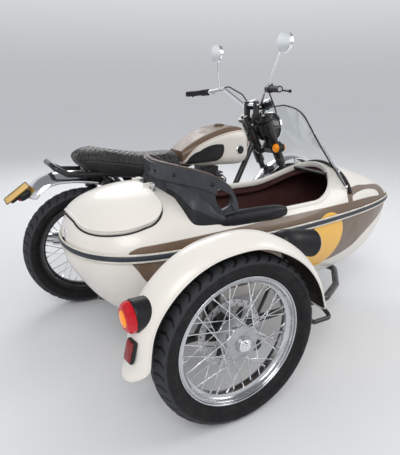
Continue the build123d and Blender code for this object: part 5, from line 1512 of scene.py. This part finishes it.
class OUTFIT_OT_seat(bpy.types.Operator):
    """Makes the rider's quilted seat."""
    bl_idname = "outfit.seat"
    bl_label = "Seat"

    def execute(self, context):
        pad = context.scene.outfit_pad
        rows = [(-36, 84, 792, 842), (10, 120, 762, 854), (60, 132, 738, 856), (130, 138, 712, 842),
                (240, 138, 698, 822), (340, 136, 692, 806), (450, 126, 692, 804), (530, 108, 700, 812),
                (566, 90, 715, 814)]
        grid = pad_block(rows, 0, power=3.0, ends=7.0, shrink=3.0)

        def keep(points):
            return within(points, (-40, -141, 690), (560, 141, 868))

        def seams(points):
            """Quilting on the top: lines where x + 0.62 |y| is a whole number of 30 mm steps behind the cross
            seam and straight ribs 34 mm apart before it, and a welt where the side begins."""
            p = (points - HOME) / MM
            top = np.interp(p[:, 0], [r[0] for r in rows], [r[3] for r in rows])
            above = np.clip((p[:, 2] - top + 46) / 8, 0, 1)
            lane = np.abs((p[:, 0] + 0.62 * np.abs(p[:, 1])) % 30 - 15)
            rib = np.abs(p[:, 0] % 34 - 17)
            quilt = ditch(15 - lane, 3.4) * (p[:, 0] < 300) + ditch(17 - rib, 3.4) * (p[:, 0] >= 300)
            welt = ditch(p[:, 2] - (top - 50), 3.2) * (np.abs(p[:, 1]) > 40)
            cross = ditch(p[:, 0] - 300, 4.0)
            return pad.stitch * np.maximum(np.maximum(quilt * above, 0.9 * welt), cross)

        stuffed("quilted_seat", grid, "saddle", ["seat"], keep, seams, 0.010, pad)
        return {"FINISHED"}


class OUTFIT_OT_cockpit(bpy.types.Operator):
    """Makes the passenger's cushion, backrest and padded arm."""
    bl_idname = "outfit.cockpit"
    bl_label = "Cockpit padding"

    def execute(self, context):
        pad = context.scene.outfit_pad
        rows = [(190, 205, 303, 410), (260, 222, 302, 430), (520, 222, 302, 434), (640, 210, 303, 418)]

        def seat_keep(points):
            return within(points, (190, BODY_Y - 228, 300.6), (642, BODY_Y + 228, 440))

        def seat_seams(points):
            p = (points - HOME) / MM
            above = np.clip((p[:, 2] - 380) / 10, 0, 1)
            welt = 0.9 * ditch(p[:, 2] - 392, 3.2) * (above < 1)
            return pad.stitch * np.maximum(channels(p[:, 1]) * above, welt)

        stuffed("cockpit_cushion", pad_block(rows, BODY_Y, shrink=4.0), "maroon",
                ["sidecar_seat"], seat_keep, seat_seams, 0.012, pad)

        levels = [(407, 196, 168, 322), (560, 214, 168, 312), (740, 212, 168, 272), (830, 196, 174, 240)]
        block = pad_block([(z, w, x0, x1) for z, w, x0, x1 in levels], BODY_Y, shrink=3.0)
        block = block[..., [2, 1, 0]]

        def back_keep(points):
            p = (points - HOME) / MM
            share = np.clip((p[:, 1] - BODY_Y) / (OPENING_REAR_HALF_W - 3), -1, 1)
            wall = OPENING_REAR_X - (OPENING_REAR_LENGTH - 3) * np.sqrt(1 - share ** 2)
            p[:, 0] = np.maximum(p[:, 0], wall)
            over = (p[:, 0] > 188) & (p[:, 2] < 442)
            p[:, 2] = np.where(over, np.maximum(p[:, 2], 441.5), p[:, 2])
            return within(place(p), (168, BODY_Y - 226, 405), (326, BODY_Y + 226, 834))

        def back_seams(points):
            p = (points - HOME) / MM
            front = np.clip((p[:, 0] - 225) / 10, 0, 1)
            roll = ditch(p[:, 2] - 770, 4.5) * front
            return pad.stitch * np.maximum(channels(p[:, 1]) * front * (p[:, 2] < 768), roll)

        stuffed("cockpit_backrest", block, "maroon", ["backrest"], back_keep, back_seams,
                0.010, pad)

        y0 = BODY_Y - 270
        rows = [(304, 32, 618, 684), (380, 36, 618, 690), (560, 34, 624, 690), (655, 29, 632, 684)]

        def arm_keep(points):
            p = (points - HOME) / MM
            under = deck_height(p[:, 0], p[:, 1]) + 1.0
            over_deck = np.abs(p[:, 1] - BODY_Y) > 268
            p[:, 2] = np.where(over_deck, np.maximum(p[:, 2], np.minimum(under, 660)), p[:, 2])
            return within(place(p), (302, y0 - 38, 616), (657, y0 + 38, 692))

        def arm_seams(points):
            p = (points - HOME) / MM
            ends = ditch(p[:, 0] - 352, 2.6) + ditch(p[:, 0] - 636, 2.6)
            return 0.7 * pad.stitch * ends

        stuffed("padded_arm", pad_block(rows, y0, power=2.8, ends=8.0, shrink=2.0), "plastic",
                ["armrest"], arm_keep, arm_seams, 0.005, pad)
        return {"FINISHED"}


# Stage

CAMERA_AT = (-0.567, -2.282, 1.169)
CAMERA_YAW, CAMERA_PITCH, CAMERA_ROLL = 60.40, 18.06, 0.37
FOCAL_PIXELS, LONG_SIDE = 436.0, 455
HORIZON = (0.495, 0.503, 0.525)
FLOOR_HALF = 30
# Colours of the sky from its height 0 up, as it lights the outfit and as it shows and mirrors
SKY_LIGHT = [(0.0, (0.34, 0.35, 0.37)), (0.55, (0.86, 0.88, 0.92)), (0.22, (0.62, 0.64, 0.67))]
SKY_SEEN = [(0.0, HORIZON), (0.30, (0.80, 0.81, 0.82)), (0.50, (0.62, 0.63, 0.65)),
            (0.72, (0.24, 0.25, 0.27))]
SKY_STRENGTH = 0.80
# Round soft lights: place, the point they look at, width and power
LIGHTS = {
    "key_light": ((-2.6, -3.4, 3.6), (0, 0, 0.5), 2.6, 95),
    "fill_light": ((3.2, -2.0, 2.8), (0.2, 0, 0.5), 2.4, 45),
    "back_light": ((0.6, 3.4, 3.2), (0, 0, 0.6), 2.8, 60),
}


def sky_ramp(nodes, stops):
    """Node that turns a height into a colour, eased between its stops."""
    ramp = nodes.new("ShaderNodeValToRGB")
    ramp.color_ramp.interpolation = "EASE"
    held = ramp.color_ramp.elements
    for k, (height, tone) in enumerate(stops):
        stop = held[k] if k < 2 else held.new(height)
        stop.position, stop.color = height, (*tone, 1)
    return ramp


class OUTFIT_OT_stage(bpy.types.Operator):
    """Lays the floor, hangs the soft lights and sets the camera at the photograph's angle."""
    bl_idname = "outfit.stage"
    bl_label = "Stage"

    def execute(self, context):
        scene = context.scene
        mesh = bpy.data.meshes.new("floor")
        corners = [(x * FLOOR_HALF, y * FLOOR_HALF, 0) for x, y in ((-1, -1), (1, -1), (1, 1), (-1, 1))]
        mesh.from_pydata(corners, [], [(0, 1, 2, 3)])
        floor = bpy.data.objects.new("floor", mesh)
        scene.collection.objects.link(floor)
        ground = Finish("pale_floor", Roughness=0.75, Specular_IOR_Level=0.25)
        clouds = ground.noise(3.0, 5.0, 0.6)
        ground.set("Base Color", ground.mix(clouds, (0.735, 0.74, 0.745), (0.775, 0.775, 0.775)))
        mesh.materials.append(ground.material)

        world = bpy.data.worlds.new("studio")
        scene.world = world
        world.use_nodes = True
        nodes, links = world.node_tree.nodes, world.node_tree.links
        plain = nodes["Background"]
        rise = nodes.new("ShaderNodeSeparateXYZ")
        links.new(nodes.new("ShaderNodeTexCoord").outputs["Generated"], rise.inputs[0])
        plain.inputs["Strength"].default_value = SKY_STRENGTH
        backdrop = nodes.new("ShaderNodeBackground")
        for sky, stops in ((plain, SKY_LIGHT), (backdrop, SKY_SEEN)):
            ramp = sky_ramp(nodes, stops)
            links.new(rise.outputs["Z"], ramp.inputs[0])
            links.new(ramp.outputs[0], sky.inputs["Color"])
        ray = nodes.new("ShaderNodeLightPath")
        choose = nodes.new("ShaderNodeMixShader")
        seen = ray.outputs["Is Camera Ray"]
        for kind in ("Is Glossy Ray", "Is Transmission Ray"):
            either = nodes.new("ShaderNodeMath")
            either.operation = "MAXIMUM"
            links.new(seen, either.inputs[0])
            links.new(ray.outputs[kind], either.inputs[1])
            seen = either.outputs[0]
        links.new(seen, choose.inputs[0])
        links.new(plain.outputs[0], choose.inputs[1])
        links.new(backdrop.outputs[0], choose.inputs[2])
        links.new(choose.outputs[0], nodes["World Output"].inputs["Surface"])

        for name, (at, look, size, power) in LIGHTS.items():
            lamp = bpy.data.lights.new(name, "AREA")
            lamp.shape, lamp.size, lamp.energy = "DISK", size, power
            hung = bpy.data.objects.new(name, lamp)
            hung.location = at
            hung.rotation_euler = (Vector(look) - Vector(at)).to_track_quat("-Z", "Y").to_euler()
            scene.collection.objects.link(hung)

        yaw, pitch, roll = (radians(v) for v in (CAMERA_YAW, CAMERA_PITCH, CAMERA_ROLL))
        ahead = Vector((cos(pitch) * cos(yaw), cos(pitch) * sin(yaw), -sin(pitch)))
        right = ahead.cross(Vector((0, 0, 1))).normalized()
        up = right.cross(ahead)
        x = right * cos(roll) + up * sin(roll)
        y = up * cos(roll) - right * sin(roll)
        turned = Matrix((x, y, -ahead)).transposed().to_4x4()
        camera = bpy.data.objects.new("camera", bpy.data.cameras.new("camera"))
        camera.data.sensor_width = 36
        camera.data.lens = 36 * FOCAL_PIXELS / LONG_SIDE
        camera.matrix_world = Matrix.Translation(Vector(CAMERA_AT) + Vector(HOME)) @ turned
        scene.collection.objects.link(camera)
        scene.camera = camera
        scene.view_settings.view_transform = "Standard"
        return {"FINISHED"}


STEPS = (OUTFIT_OT_finishes, OUTFIT_OT_stage, OUTFIT_OT_wheels, OUTFIT_OT_mudguards, OUTFIT_OT_body_trim,
         OUTFIT_OT_collar, OUTFIT_OT_screen, OUTFIT_OT_coaming, OUTFIT_OT_side_lamps, OUTFIT_OT_fork_trim,
         OUTFIT_OT_seat, OUTFIT_OT_cockpit)


class OUTFIT_PT_panel(bpy.types.Panel):
    """Lists the pieces in the order in which they are made."""
    bl_idname = "OUTFIT_PT_panel"
    bl_label = "Motorcycle and sidecar"
    bl_space_type = "VIEW_3D"
    bl_region_type = "UI"
    bl_category = "Outfit"

    def draw(self, context):
        for step in STEPS:
            self.layout.operator(step.bl_idname)
        for name, group in SETTINGS.items():
            box = self.layout.box()
            for prop in group.__annotations__:
                box.prop(getattr(context.scene, name), prop)


def register():
    for group in SETTINGS.values():
        bpy.utils.register_class(group)
    for name, group in SETTINGS.items():
        setattr(bpy.types.Scene, name, bpy.props.PointerProperty(type=group))
    for step in STEPS + (OUTFIT_PT_panel,):
        bpy.utils.register_class(step)


def unregister():
    for step in reversed(STEPS + (OUTFIT_PT_panel,)):
        bpy.utils.unregister_class(step)
    for name, group in SETTINGS.items():
        delattr(bpy.types.Scene, name)
        bpy.utils.unregister_class(group)


def main():
    register()
    for step in STEPS:
        area, call = step.bl_idname.split(".")
        getattr(getattr(bpy.ops, area), call)()


if __name__ == "__main__":
    main()
